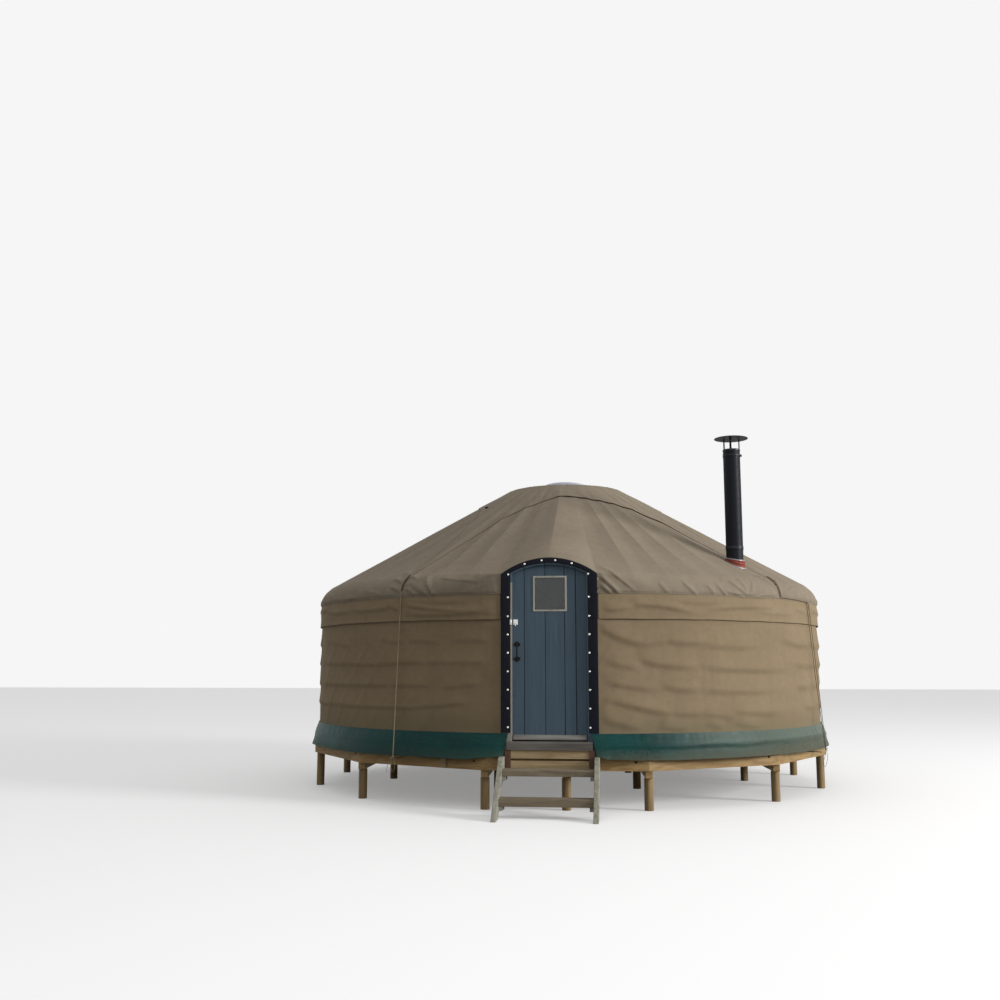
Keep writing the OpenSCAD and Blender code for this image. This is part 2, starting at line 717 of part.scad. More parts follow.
module door_leaf() {
    groove = 7;
    color("slategray") swing() difference() {
        door_plane(leaf_front, leaf_front + board_t) difference() {
            leaf_outline();
            window_rect(0);
        }
        for (x = board_joints) translate([x, leaf_front, 0]) rotate([0, 0, 45])
            translate([-groove / 2, -groove / 2, 600]) cube([groove, groove, 2100]);
    }
}

// Ledges and braces on the inside hold the boards together
module door_ledges() {
    ledge_w = 110;
    low_z = hinge_zs[0];
    mid_z = hinge_zs[1];
    y0 = leaf_front + board_t;
    color("slategray") swing() {
        for (z = [low_z, mid_z]) door_plane(y0, leaf_back)
            translate([-380, z - ledge_w / 2]) square([770, ledge_w]);
        door_plane(y0, leaf_back) difference() {
            intersection() {
                leaf_outline(-12);
                translate([-380, 1975]) square([770, 700]);
            }
            window_rect(0);
        }
        for (z = [low_z, mid_z]) door_plane(y0, leaf_back)
            polygon([[370, z + ledge_w / 2 - 1], [270, z + ledge_w / 2 - 1],
                     [-370, (z == low_z ? mid_z : 1975 + ledge_w / 2) - ledge_w / 2 + 1],
                     [-270, (z == low_z ? mid_z : 1975 + ledge_w / 2) - ledge_w / 2 + 1]]);
    }
}

module window_glass() {
    color("lightblue", 0.5) swing() door_plane(leaf_front + 14, leaf_front + 19) window_rect(0);
}

module window_bead() {
    color("beige") swing() door_plane(leaf_front - 6, leaf_front) difference() {
        window_rect(10);
        window_rect(-8);
    }
}

module pull_handle() {
    x = -339;
    low = 1530;
    high = 1692;
    color("black") swing() {
        for (z = [low, high]) {
            door_plane(leaf_front - 4, leaf_front) translate([x, z]) {
                circle(d = 34);
                polygon([[-15, z == low ? -8 : 8], [15, z == low ? -8 : 8], [0, z == low ? -26 : 26]]);
            }
            translate([x, leaf_front - 3, z]) rotate([90, 0, 0]) cylinder(h = 31, d = 12, $fn = 24);
        }
        translate([x, leaf_front - 34, low - 6]) cylinder(h = high - low + 12, d = 14, $fn = 24);
    }
}

module latch_plate() {
    color("silver") swing() {
        translate([-379, leaf_front - 4, 1888]) cube([48, 4, 55]);
        translate([-374, leaf_front - 24, 1900]) cube([34, 21, 32]);
        translate([-358, leaf_front - 20, 1874]) cube([8, 8, 30]);
    }
}

module weather_bar() {
    bar = [[leaf_front, 708], [leaf_front - 33, 708], [leaf_front - 35, 728],
           [leaf_front - 12, 760], [leaf_front, 760]];
    color("gray") swing() translate([-378, 0, 0]) rotate([90, 0, 90]) linear_extrude(756) polygon(bar);
}

knuckle_d = 16;
pin_d = 8;

module knuckle(z0, z1) { translate([hinge_x, hinge_y, z0]) cylinder(h = z1 - z0, d = knuckle_d, $fn = 32); }

// Frame halves of the hinges: a plate on the back of the jamb, two knuckles and the pin
module hinge_frame() {
    color("dimgray") for (z = hinge_zs) {
        knuckle(z - hinge_h / 2, z - 18);
        knuckle(z + 18, z + hinge_h / 2);
        translate([hinge_x, hinge_y, z - 18.5]) cylinder(h = 37, d = pin_d, $fn = 32);
        for (z0 = [z - hinge_h / 2, z + 18]) translate([hinge_x, frame_back, z0])
            cube([40, 3, hinge_h / 2 - 18]);
    }
}

module hinge_leaves() {
    color("dimgray") swing() for (z = hinge_zs) difference() {
        union() {
            knuckle(z - 17.6, z + 17.6);
            translate([hinge_x - 45, leaf_back, z - 17.6]) cube([45, 3, 35.2]);
            translate([hinge_x - 6, leaf_back, z - 17.6]) cube([6, hinge_y - leaf_back, 35.2]);
        }
        translate([hinge_x, hinge_y, z - 20]) cylinder(h = 40, d = pin_d + 0.14, $fn = 32);
    }
}

centre_post();
deck_posts();
deck_bearers();
deck_joists();
deck_rim();
deck_floor();
step_stringers();
step_treads();
step_blocks();
step_risers();
door_sill();
door_jambs();
door_head();
trim_lower();
trim_arch();
hinge_frame();
lattice_panel(0);  // lattice_1
lattice_panel(1);  // lattice_2
lattice_panel(2);  // lattice_3
lattice_panel(3);  // lattice_4
lattice_panel(4);  // lattice_5
lattice_panel(5);  // lattice_6
wall_panel(0);  // wall_1
wall_panel(1);  // wall_2
wall_panel(2);  // wall_3
wall_panel(3);  // wall_4
wall_panel(4);  // wall_5
wall_panel(5);  // wall_6
wall_panel(6);  // wall_7
skirt_left();
skirt_right();
valance();
roof_over_door();
roof_panel(0);  // roof_1
roof_panel(1);  // roof_2
roof_panel(2);  // roof_3
roof_panel(3);  // roof_4
roof_panel(4);  // roof_5
roof_poles();
door_poles();
crown_ring();
crown_slats();
crown_dome();
crown_cap();
cap_ropes();
rope_hooks();
tension_band();
flue_pipe();
flue_flashing();
flue_cowl();
flue_bracket();
door_leaf();
door_ledges();
window_glass();
window_bead();
pull_handle();
latch_plate();
weather_bar();
hinge_leaves();
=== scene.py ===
import math
import random

import bmesh
import bpy
from mathutils import Matrix, Vector, noise


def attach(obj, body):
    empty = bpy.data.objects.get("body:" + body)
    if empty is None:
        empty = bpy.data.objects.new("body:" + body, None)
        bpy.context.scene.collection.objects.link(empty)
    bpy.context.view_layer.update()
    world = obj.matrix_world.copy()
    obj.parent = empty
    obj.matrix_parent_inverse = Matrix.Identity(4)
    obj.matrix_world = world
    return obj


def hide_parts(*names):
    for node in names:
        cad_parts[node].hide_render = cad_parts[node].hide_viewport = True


# Metres, +Z up, the door faces -Y. Azimuths are degrees from the door's centre line towards +X.
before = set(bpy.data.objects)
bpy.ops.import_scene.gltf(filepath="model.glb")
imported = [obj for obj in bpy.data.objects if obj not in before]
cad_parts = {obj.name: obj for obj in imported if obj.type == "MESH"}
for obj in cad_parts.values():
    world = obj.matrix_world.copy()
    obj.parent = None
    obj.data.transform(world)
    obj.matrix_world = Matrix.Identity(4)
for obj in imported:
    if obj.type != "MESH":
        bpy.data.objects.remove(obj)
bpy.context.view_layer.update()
print("frame loaded:", len(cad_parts), "nodes")

# Camera and light

cameraSet = {
    "place": (0.803, -14.475, 1.45),
    "turn": (98.785, 0.0, 6.647),
    "lens": 38.9,
}


def makeCamera():
    data = bpy.data.cameras.new("camera")
    data.lens = cameraSet["lens"]
    data.sensor_width = 36
    camera = bpy.data.objects.new("camera", data)
    camera.location = cameraSet["place"]
    camera.rotation_euler = [math.radians(a) for a in cameraSet["turn"]]
    bpy.context.scene.collection.objects.link(camera)
    bpy.context.scene.camera = camera


makeCamera()
print("camera placed")

# Material tools


def tone(red, green, blue):  # a colour as it shows on screen, 0 to 255, made linear
    values = [c / 255 for c in (red, green, blue)]
    return tuple(c / 12.92 if c <= 0.04045 else ((c + 0.055) / 1.055) ** 2.4 for c in values) + (1.0,)


class Field:  # an output of a node that plain arithmetic can be written with
    def __init__(self, paint, socket):
        self.paint = paint
        self.socket = socket

    def __add__(self, other):
        return self.paint.maths("ADD", self, other)

    def __radd__(self, other):
        return self.paint.maths("ADD", other, self)

    def __sub__(self, other):
        return self.paint.maths("SUBTRACT", self, other)

    def __rsub__(self, other):
        return self.paint.maths("SUBTRACT", other, self)

    def __mul__(self, other):
        return self.paint.maths("MULTIPLY", self, other)

    def __rmul__(self, other):
        return self.paint.maths("MULTIPLY", other, self)

    def __truediv__(self, other):
        return self.paint.maths("DIVIDE", self, other)

    def __rtruediv__(self, other):
        return self.paint.maths("DIVIDE", other, self)

    def __pow__(self, other):
        return self.paint.maths("POWER", self, other)

    def __abs__(self):
        return self.paint.maths("ABSOLUTE", self)


class Paint:  # one material and its nodes
    def __init__(self, name, rough=0.6, **sockets):
        self.material = bpy.data.materials.new(name)
        self.material.use_nodes = True
        self.tree = self.material.node_tree
        self.shader = self.tree.nodes["Principled BSDF"]
        self.shader.inputs["Roughness"].default_value = rough
        for socket, value in sockets.items():
            self.shader.inputs[socket.replace("_", " ")].default_value = value
        self.object = self.add("ShaderNodeTexCoord", {}, {}, "Object")
        self.uv = self.add("ShaderNodeTexCoord", {}, {}, "UV")

    def put(self, socket, value):
        if isinstance(value, Field):
            self.tree.links.new(value.socket, socket)
        else:
            socket.default_value = value

    def add(self, kind, settings, inputs, output=0):
        node = self.tree.nodes.new(kind)
        for key, value in settings.items():
            if key == "stops":
                while len(node.color_ramp.elements) < len(value):
                    node.color_ramp.elements.new(1.0)
                for element, (place, colour) in zip(node.color_ramp.elements, value):
                    element.position = place
                    element.color = colour
            else:
                setattr(node, key, value)
        for key, value in inputs.items():
            self.put(node.inputs[key], value)
        return Field(self, node.outputs[output])

    def maths(self, operation, *values):
        return self.add("ShaderNodeMath", {"operation": operation}, dict(enumerate(values)))

    def place(self, source, scale=(1, 1, 1), turn=(0, 0, 0), shift=(0, 0, 0)):
        turned = tuple(math.radians(a) for a in turn)
        inputs = {"Vector": source, "Location": shift, "Rotation": turned, "Scale": scale}
        return self.add("ShaderNodeMapping", {}, inputs)

    def cloud(self, source, scale, detail=4.0, rough=0.55, warp=0.0):
        inputs = {"Vector": source, "Scale": scale, "Detail": detail, "Roughness": rough, "Distortion": warp}
        return self.add("ShaderNodeTexNoise", {}, inputs)

    def split(self, source):
        kind = "ShaderNodeSeparateXYZ"
        node = self.add(kind, {}, {"Vector": source})
        return [Field(self, out) for out in node.socket.node.outputs]

    def join(self, x, y, z):
        return self.add("ShaderNodeCombineXYZ", {}, {"X": x, "Y": y, "Z": z})

    def span(self, value, low, high, first=0.0, last=1.0):  # maps low..high to first..last and holds the ends
        inputs = {"Value": value, "From Min": low, "From Max": high, "To Min": first, "To Max": last}
        return self.add("ShaderNodeMapRange", {"clamp": True}, inputs)

    def blend(self, factor, first, second, kind="MIX"):
        settings = {"data_type": "RGBA", "blend_type": kind}
        return self.add("ShaderNodeMix", settings, {0: factor, 6: first, 7: second}, 2)

    def relief(self, height, distance, strength=1.0, under=None):
        inputs = {"Height": height, "Distance": distance, "Strength": strength}
        if under is not None:
            inputs["Normal"] = under
        return self.add("ShaderNodeBump", {}, inputs)

    def set(self, **sockets):
        for socket, value in sockets.items():
            self.put(self.shader.inputs[socket.replace("_", " ")], value)
        return self.material


# Cloth

canvasSet = {
    "wall": ((136, 118, 92), (146, 128, 101)),
    "roof": ((133, 121, 104), (144, 132, 114)),
    "stain": (116, 101, 79),
    "moss": (100, 96, 72),
    "lining": (205, 193, 168),
    "weave": 900.0,
}


def weave(paint, scale):  # threads over and under, as a height
    x, y, z = paint.split(paint.place(paint.uv, (scale, scale, 1)))
    across = paint.maths("SINE", x * 6.2832)
    along = paint.maths("SINE", y * 6.2832)
    return across * along * 0.5 + 0.5


def canvasPaint(name, tan, light, rain=1.0):
    paint = Paint(name, 0.86, Specular_IOR_Level=0.3)
    x, y, z = paint.split(paint.object)
    broad = paint.cloud(paint.place(paint.object, (0.9, 0.9, 1.6)), 1.0, 5)
    mottle = paint.cloud(paint.object, 14.0, 6, 0.65)
    runs = paint.cloud(paint.place(paint.object, (9, 9, 0.7)), 1.0, 5, 0.6)
    colour = paint.blend(paint.span(broad, 0.3, 0.7), tone(*tan), tone(*light))
    colour = paint.blend(paint.span(mottle, 0.45, 0.75, 0, 0.22), colour, tone(*canvasSet["stain"]))
    colour = paint.blend(paint.span(runs, 0.52, 0.74, 0, 0.18 * rain), colour, tone(*canvasSet["stain"]))
    low = paint.span(z + (mottle - 0.5) * 0.25, 0.74, 1.02, 0.55, 0)
    colour = paint.blend(low, colour, tone(*canvasSet["moss"]))
    crumple = paint.cloud(paint.place(paint.object, (1, 1, 1.5)), 11.0, 3, 0.5, 0.4)
    fine = paint.relief(weave(paint, canvasSet["weave"]), 0.0003, 0.5)
    bump = paint.relief(crumple, 0.004, 0.5, fine)
    return paint.set(Base_Color=colour, Normal=bump, Roughness=paint.span(mottle, 0.3, 0.7, 0.8, 0.92))


def liningPaint():
    paint = Paint("cottonLining", 0.9)
    broad = paint.cloud(paint.object, 2.0, 4)
    pale = tone(*canvasSet["lining"])
    colour = paint.blend(paint.span(broad, 0.35, 0.7, 0, 0.5), pale, tone(188, 174, 146))
    return paint.set(Base_Color=colour, Normal=paint.relief(weave(paint, 700.0), 0.0003, 0.5))


skirtSet = {"green": (12, 66, 62), "light": (30, 88, 82), "shade": (6, 48, 47),
            "mudAndPaintedLight": (92, 88, 70), "paintedLightGreen": (100, 114, 104)}


def skirtPaint():
    paint = Paint("greenSkirtCloth", 0.5, Specular_IOR_Level=0.16)
    x, y, z = paint.split(paint.object)
    broad = paint.cloud(paint.place(paint.object, (1.2, 1.2, 3)), 1.5, 4)
    scuff = paint.cloud(paint.place(paint.object, (3, 3, 14)), 3.0, 6, 0.7)
    splash = paint.cloud(paint.object, 36.0, 6, 0.75)
    colour = paint.blend(paint.span(broad, 0.3, 0.7), tone(*skirtSet["green"]), tone(*skirtSet["shade"]))
    colour = paint.blend(paint.span(scuff, 0.5, 0.8, 0, 0.5), colour, tone(*skirtSet["light"]))
    dirt = paint.span(z + (splash - 0.5) * 0.3, 0.5, 0.63, 0.6, 0)
    # the mud near the bottom is the cloth's own dirt; weighting it down towards the left is painted shade,
    # which leaves the left side darker
    colour = paint.blend(dirt * paint.span(x, -1.8, 1.0, 0.25, 1), colour, tone(*skirtSet["mudAndPaintedLight"]))
    # painted light: a paler grey-green band over the upper skirt on the right side, where the light falls
    right = paint.span(x, 0.9, 2.6)
    band = paint.span(z + (splash - 0.5) * 0.04, 0.655, 0.685) * right
    colour = paint.blend(band * 0.75, colour, tone(*skirtSet["paintedLightGreen"]))
    # painted light: blotches of the mud colour over the right end stand for the warm light that falls there
    paintedLightBlotches = paint.span(scuff * 0.5 + splash * 0.5, 0.3, 0.6) * paint.span(x, 1.2, 2.7) * (1 - band * 0.6)
    colour = paint.blend(paintedLightBlotches * 0.8, colour, tone(*skirtSet["mudAndPaintedLight"]))
    crumple = paint.cloud(paint.place(paint.object, (1, 1, 2)), 9.0, 3, 0.5, 0.5)
    fine = paint.relief(weave(paint, 600.0), 0.0002, 0.4)
    rough = paint.span(scuff, 0.3, 0.8, 0.42, 0.6) + dirt * 0.3
    return paint.set(Base_Color=colour, Roughness=rough, Normal=paint.relief(crumple, 0.004, 0.5, fine))


def trimPaint():
    paint = Paint("blackTrimCloth", 0.6, Specular_IOR_Level=0.1)
    cloud = paint.cloud(paint.object, 22.0, 5, 0.6)
    colour = paint.blend(paint.span(cloud, 0.35, 0.75), tone(17, 18, 25), tone(27, 29, 38))
    fine = paint.relief(weave(paint, 700.0), 0.0003, 0.5)
    return paint.set(Base_Color=colour, Roughness=paint.span(cloud, 0.3, 0.7, 0.52, 0.7),
                     Normal=paint.relief(cloud, 0.004, 0.4, fine))


def ropePaint(name, light, dark):
    paint = Paint(name, 0.85)
    u, v = paint.split(paint.uv)[:2]
    lay = paint.maths("SINE", (v * 140.0 + u * 3.0) * 6.2832)
    fuzz = paint.cloud(paint.object, 300.0, 3)
    colour = paint.blend(paint.span(lay, -1, 0.6), tone(*dark), tone(*light))
    colour = paint.blend(paint.span(fuzz, 0.4, 0.8, 0, 0.4), colour, tone(*dark))
    return paint.set(Base_Color=colour, Normal=paint.relief(lay, 0.0008, 0.5))


# Wood: the grain runs along one direction, and "round" runs along the tangent of the deck

woodSet = {
    "ash": {"light": (196, 160, 112), "dark": (160, 120, 78), "wear": (210, 182, 140), "rough": 0.55},
    "pine": {"light": (172, 142, 92), "dark": (134, 101, 58), "wear": (148, 128, 90), "rough": 0.7},
    "riser": {"light": (178, 156, 118), "dark": (142, 119, 84), "wear": (152, 138, 110), "rough": 0.75},
    "post": {"light": (160, 134, 92), "dark": (116, 92, 60), "wear": (110, 104, 84), "rough": 0.75},
    "step": {"light": (132, 119, 98), "dark": (94, 83, 66), "wear": (152, 140, 118), "rough": 0.8},
    "stringer": {"light": (154, 151, 136), "dark": (114, 111, 97), "wear": (176, 174, 160), "rough": 0.8},
    "sill": {"light": (100, 96, 90), "dark": (68, 64, 60), "wear": (114, 111, 104), "rough": 0.75},
    "bar": {"light": (132, 130, 124), "dark": (104, 102, 96), "wear": (148, 147, 140), "rough": 0.6},
    "block": {"light": (86, 56, 36), "dark": (54, 35, 24), "wear": (122, 92, 66), "rough": 0.7},
    "bead": {"light": (186, 184, 172), "dark": (158, 155, 142), "wear": (128, 124, 112), "rough": 0.6},
}


def grainSpace(paint, axis):
    long, cross = 0.9, 14.0
    if axis in "xyz":
        return paint.place(paint.object, tuple(long if axis == a else cross for a in "xyz"))
    x, y, z = paint.split(paint.object)
    angle = paint.maths("ARCTAN2", x, 0.0 - y)
    reach = paint.maths("SQRT", x * x + y * y)
    if axis == "round":
        return paint.join(angle * (3.2 * long), z * cross, reach * cross)
    return paint.join(angle * (2.6 * cross), z * (0.5 * long), reach * long)


def woodPaint(name, kind, axis):
    mix = woodSet[kind]
    paint = Paint(name, mix["rough"])
    space = grainSpace(paint, axis)
    warped = paint.cloud(space, 0.5, 3, 0.5)
    rings = paint.maths("FRACT", warped * 7.0)
    ring = paint.span(abs(rings - 0.5), 0.12, 0.5)
    fibre = paint.cloud(space, 7.0, 5, 0.7)
    blotch = paint.cloud(paint.object, 2.2, 4)
    knot = paint.add("ShaderNodeTexVoronoi", {"feature": "F1"},
                     {"Vector": paint.place(space, (0.55, 0.16, 0.16)),
                                                              "Scale": 3.0})
    colour = paint.blend(ring * 0.75, tone(*mix["light"]), tone(*mix["dark"]))
    colour = paint.blend(paint.span(fibre, 0.4, 0.8, 0, 0.6), colour, tone(*mix["dark"]))
    colour = paint.blend(paint.span(blotch, 0.45, 0.75, 0, 0.55), colour, tone(*mix["wear"]))
    knots = paint.span(knot, 0.05, 0.10, 0.75, 0) if kind == "pine" else 0.0
    colour = paint.blend(knots, colour, tone(96, 62, 34))
    bump = paint.relief(fibre, 0.002, 0.5, paint.relief(ring, 0.001, 0.3))
    rough = paint.span(fibre, 0.3, 0.8, mix["rough"] - 0.08, mix["rough"] + 0.1)
    return paint.set(Base_Color=colour, Roughness=rough, Normal=bump)


doorSet = {
    "paint": (69, 86, 99), "light": (78, 95, 108), "dark": (51, 65, 77), "bare": (128, 116, 96),
    "joints": (-0.264, -0.044, 0.158, 0.276),  # where the boards meet, in metres across the door
}


def doorPaint(name, axis):
    paint = Paint(name, 0.46, Specular_IOR_Level=0.2)
    streak = paint.cloud(paint.place(paint.object, tuple(2.0 if axis == a else 70.0
                                                         for a in "xyz")), 1.0, 5, 0.6)
    grain = paint.cloud(paint.place(paint.object, tuple(1.2 if axis == a else 18.0
                                                        for a in "xyz")), 1.0, 4, 0.6)
    chip = paint.cloud(paint.object, 48.0, 6, 0.8)
    x, y, z = paint.split(paint.object)
    colour = paint.blend(paint.span(grain, 0.35, 0.7), tone(*doorSet["paint"]), tone(*doorSet["light"]))
    colour = paint.blend(paint.span(streak, 0.5, 0.75, 0, 0.4), colour, tone(*doorSet["dark"]))
    worn = paint.span(chip + paint.span(z, 0.68, 1.0, 0.1, 0), 0.74, 0.78, 0, 0.7)
    colour = paint.blend(worn, colour, tone(*doorSet["bare"]))
    for joint in doorSet["joints"] if name == "doorPaint" else ():
        gap = paint.span(abs(x - joint), 0.0025, 0.0065, 0.9, 0)
        colour = paint.blend(gap, colour, tone(24, 30, 36))
    if name == "jambPaintLitLeft":  # painted light: the left jamb, on the latch side, is painted pale for the light its edge catches; the right one keeps the door's blue
        colour = paint.blend(paint.span(x, -0.386, -0.384, 1, 0), colour, tone(150, 146, 134))
    rough = paint.span(streak, 0.3, 0.7, 0.42, 0.56) + worn * 0.3
    bump = paint.relief(grain, 0.002, 0.4, paint.relief(streak, 0.0006, 0.5))
    return paint.set(Base_Color=colour, Roughness=rough, Normal=bump)


# Metal, rubber, plastic and glass


def metalPaint(name, base, light, rough, metallic, scale=60.0, shine=0.5):
    paint = Paint(name, rough, Metallic=metallic, Specular_IOR_Level=shine)
    cloud = paint.cloud(paint.object, scale, 5, 0.65)
    broad = paint.cloud(paint.object, scale / 12, 3)
    colour = paint.blend(paint.span(cloud, 0.35, 0.7), tone(*base), tone(*light))
    colour = paint.blend(paint.span(broad, 0.45, 0.7, 0, 0.4), colour, tone(*base))
    return paint.set(Base_Color=colour, Roughness=paint.span(cloud, 0.3, 0.75, rough - 0.07, rough + 0.12),
                     Normal=paint.relief(cloud, 0.0006, 0.35))


def rubberPaint():
    paint = Paint("redFlashing", 0.7)
    cloud = paint.cloud(paint.object, 30.0, 5, 0.6)
    colour = paint.blend(paint.span(cloud, 0.4, 0.7), tone(124, 52, 40), tone(148, 72, 56))
    return paint.set(Base_Color=colour, Normal=paint.relief(cloud, 0.002, 0.4))


def domePaint():
    paint = Paint("opalDome", 0.25, Transmission_Weight=0.25, IOR=1.49)
    cloud = paint.cloud(paint.object, 5.0, 4)
    colour = paint.blend(paint.span(cloud, 0.35, 0.7), tone(190, 192, 208), tone(172, 175, 194))
    return paint.set(Base_Color=colour, Roughness=paint.span(cloud, 0.3, 0.7, 0.18, 0.34))


def glassPaint():
    paint = Paint("windowGlass", 0.04, Transmission_Weight=0.75, IOR=1.5)
    smear = paint.cloud(paint.object, 8.0, 4)
    colour = paint.blend(paint.span(smear, 0.3, 0.7), tone(78, 86, 87), tone(52, 58, 60))
    return paint.set(Base_Color=colour, Roughness=paint.span(smear, 0.35, 0.75, 0.02, 0.1))


paints = {
    "wall": canvasPaint("wallCanvas", *canvasSet["wall"]),
    "roof": canvasPaint("roofCanvas", *canvasSet["roof"], 1.4),
    "lining": liningPaint(),
    "skirt": skirtPaint(),
    "trim": trimPaint(),
    "paleRope": ropePaint("paleRope", (196, 182, 150), (120, 106, 80)),
    "darkRope": ropePaint("darkRope", (112, 86, 58), (66, 50, 36)),
    "band": ropePaint("cottonBand", (208, 196, 168), (176, 162, 132)),
    "ashUp": woodPaint("ashLath", "ash", "z"),
    "ashPole": woodPaint("ashPole", "ash", "reach"),
    "ashRing": woodPaint("ashRing", "ash", "round"),
    "ashSlat": woodPaint("ashSlat", "ash", "x"),
    "rim": woodPaint("pineRim", "pine", "round"),
    "pineX": woodPaint("pineAcross", "pine", "x"),
    "pineY": woodPaint("pineAlong", "pine", "y"),
    "post": woodPaint("pinePost", "post", "z"),
    "tread": woodPaint("stepTread", "step", "x"),
    "riser": woodPaint("stepRiser", "riser", "x"),
    "block": woodPaint("stepBlock", "block", "z"),
    "stringer": woodPaint("stepStringer", "stringer", "y"),
    "sill": woodPaint("weatheredSill", "sill", "x"),
    "bar": woodPaint("weatherBar", "bar", "x"),
    "door": doorPaint("doorPaint", "z"),
    "jamb": doorPaint("jambPaintLitLeft", "z"),
    "bead": woodPaint("windowBead", "bead", "z"),
    "iron": metalPaint("blackIron", (12, 12, 14), (24, 24, 26), 0.5, 0.1, 60.0, 0.15),
    "flue": metalPaint("flueBlack", (10, 12, 18), (18, 20, 28), 0.5, 0.0, 26.0, 0.15),
    "flueBand": metalPaint("flueBand", (34, 36, 42), (52, 54, 60), 0.38, 0.1, 40.0, 0.3),
    "hook": metalPaint("hookSteel", (84, 84, 80), (112, 111, 106), 0.5, 0.4),
    "zinc": metalPaint("zincPlate", (206, 210, 204), (228, 230, 224), 0.4, 0.6),
    "clamp": metalPaint("clampSteel", (134, 136, 140), (160, 162, 164), 0.45, 0.3),
    "nickel": metalPaint("nickelStud", (214, 212, 204), (238, 236, 228), 0.25, 0.8),
    # painted shade: the hem cord's colour is darker than the canvas, standing for the shadow line under the
    # cap's hem
    "hem": ropePaint("hemCordPaintedShade", (104, 90, 70), (72, 62, 48)),
    "strap": ropePaint("strapWeb", (78, 66, 50), (48, 40, 30)),
    "flashing": rubberPaint(),
    "dome": domePaint(),
    "glass": glassPaint(),
}
print("materials made:", len(paints))

# Mesh tools


def easeIn(t):
    t = min(1.0, max(0.0, t))
    return t * t * (3 - 2 * t)


def mixed(a, b, t):
    return a + (b - a) * t


def hill(x, centre, width):  # 1 at the centre, falling smoothly to 0 at width
    t = abs(x - centre) / width
    return (1 - t * t) ** 2 if t < 1 else 0.0


def signed(azimuth):
    return (azimuth + 540) % 360 - 180


def around(radius, azimuth, z):
    a = math.radians(azimuth)
    return Vector((radius * math.sin(a), -radius * math.cos(a), z))


def wander(x, y, seed, detail=2):  # smooth noise from about -1 to 1
    total, size = 0.0, 1.0
    for octave in range(detail):
        total += size * noise.noise(Vector((x * 2**octave, y * 2**octave, seed * 7.31 + octave)))
        size *= 0.5
    return total


def makeFolds(rows, degree, above, below, taper):  # rows of three (azimuth, z) points and a height, as lines
    folds = []
    for a, b, c, height in rows:
        line = []
        for i in range(9):
            t = mixed(-0.5 * taper, 1 + 0.5 * taper, i / 8)
            x, z = (p * (1 - t) ** 2 + 2 * q * t * (1 - t) + r * t * t for p, q, r in zip(a, b, c))
            line.append((x * degree, z))
        folds.append((line, height, above, below, taper))
    return folds


def foldHeight(x, z, folds):  # each line is the lower edge of a fold: full and soft above it, sharp below it
    best = 0.0
    for line, height, above, below, taper in folds:
        reach = max(above, below)
        if not (min(line[0][0], line[-1][0]) - reach < x < max(line[0][0], line[-1][0]) + reach):
            continue
        nearest, side, along = reach * reach, 1.0, 0.0
        for i, ((x0, z0), (x1, z1)) in enumerate(zip(line, line[1:])):
            dx, dz = x1 - x0, z1 - z0
            t = min(1.0, max(0.0, ((x - x0) * dx + (z - z0) * dz) / (dx * dx + dz * dz)))
            ox, oz = x - x0 - dx * t, z - z0 - dz * t
            apart = ox * ox + oz * oz
            if apart < nearest:
                nearest, side, along = apart, dx * oz - dz * ox, (i + t) / (len(line) - 1)
        d = math.sqrt(nearest)
        shape = max(0.0, 1 - d / above) ** 1.5 if side >= 0 else 1 - easeIn(d / below)
        best = max(best, height * shape * easeIn(along / taper) * easeIn((1 - along) / taper))
    return best


def newPiece(name, bm, paintNames, body="yurt", replaced=(), smooth=True, fix=False):
    if fix:
        bmesh.ops.remove_doubles(bm, verts=bm.verts, dist=1e-5)
        bmesh.ops.recalc_face_normals(bm, faces=bm.faces)
    mesh = bpy.data.meshes.new(name)
    for face in bm.faces:
        face.smooth = smooth
    bm.to_mesh(mesh)
    bm.free()
    piece = bpy.data.objects.new(name, mesh)
    bpy.context.scene.collection.objects.link(piece)
    for key in [paintNames] if isinstance(paintNames, str) else paintNames:
        mesh.materials.append(paints[key])
    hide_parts(*replaced)
    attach(piece, body)
    return piece


def clothGrid(columns, rows, size, place):  # a grid set by place(u, v), with its UV in metres
    bm = bmesh.new()
    layer = bm.loops.layers.uv.new("UVMap")
    bmesh.ops.create_grid(bm, x_segments=columns, y_segments=rows, size=0.5, calc_uvs=False)
    for face in bm.faces:
        for loop in face.loops:
            loop[layer].uv = ((loop.vert.co.x + 0.5) * size[0], (loop.vert.co.y + 0.5) * size[1])
    for vert in bm.verts:
        vert.co = place(vert.co.x + 0.5, vert.co.y + 0.5)
    return bm


def thicken(piece, depth, lined=False):
    solid = piece.modifiers.new("thickness", "SOLIDIFY")
    solid.thickness = depth
    solid.offset = -1
    if lined:
        solid.material_offset = 1
    crisp = piece.modifiers.new("crispRim", "EDGE_SPLIT")  # so that the rim doesn't bend the cloth's shading
    crisp.split_angle = math.radians(60)


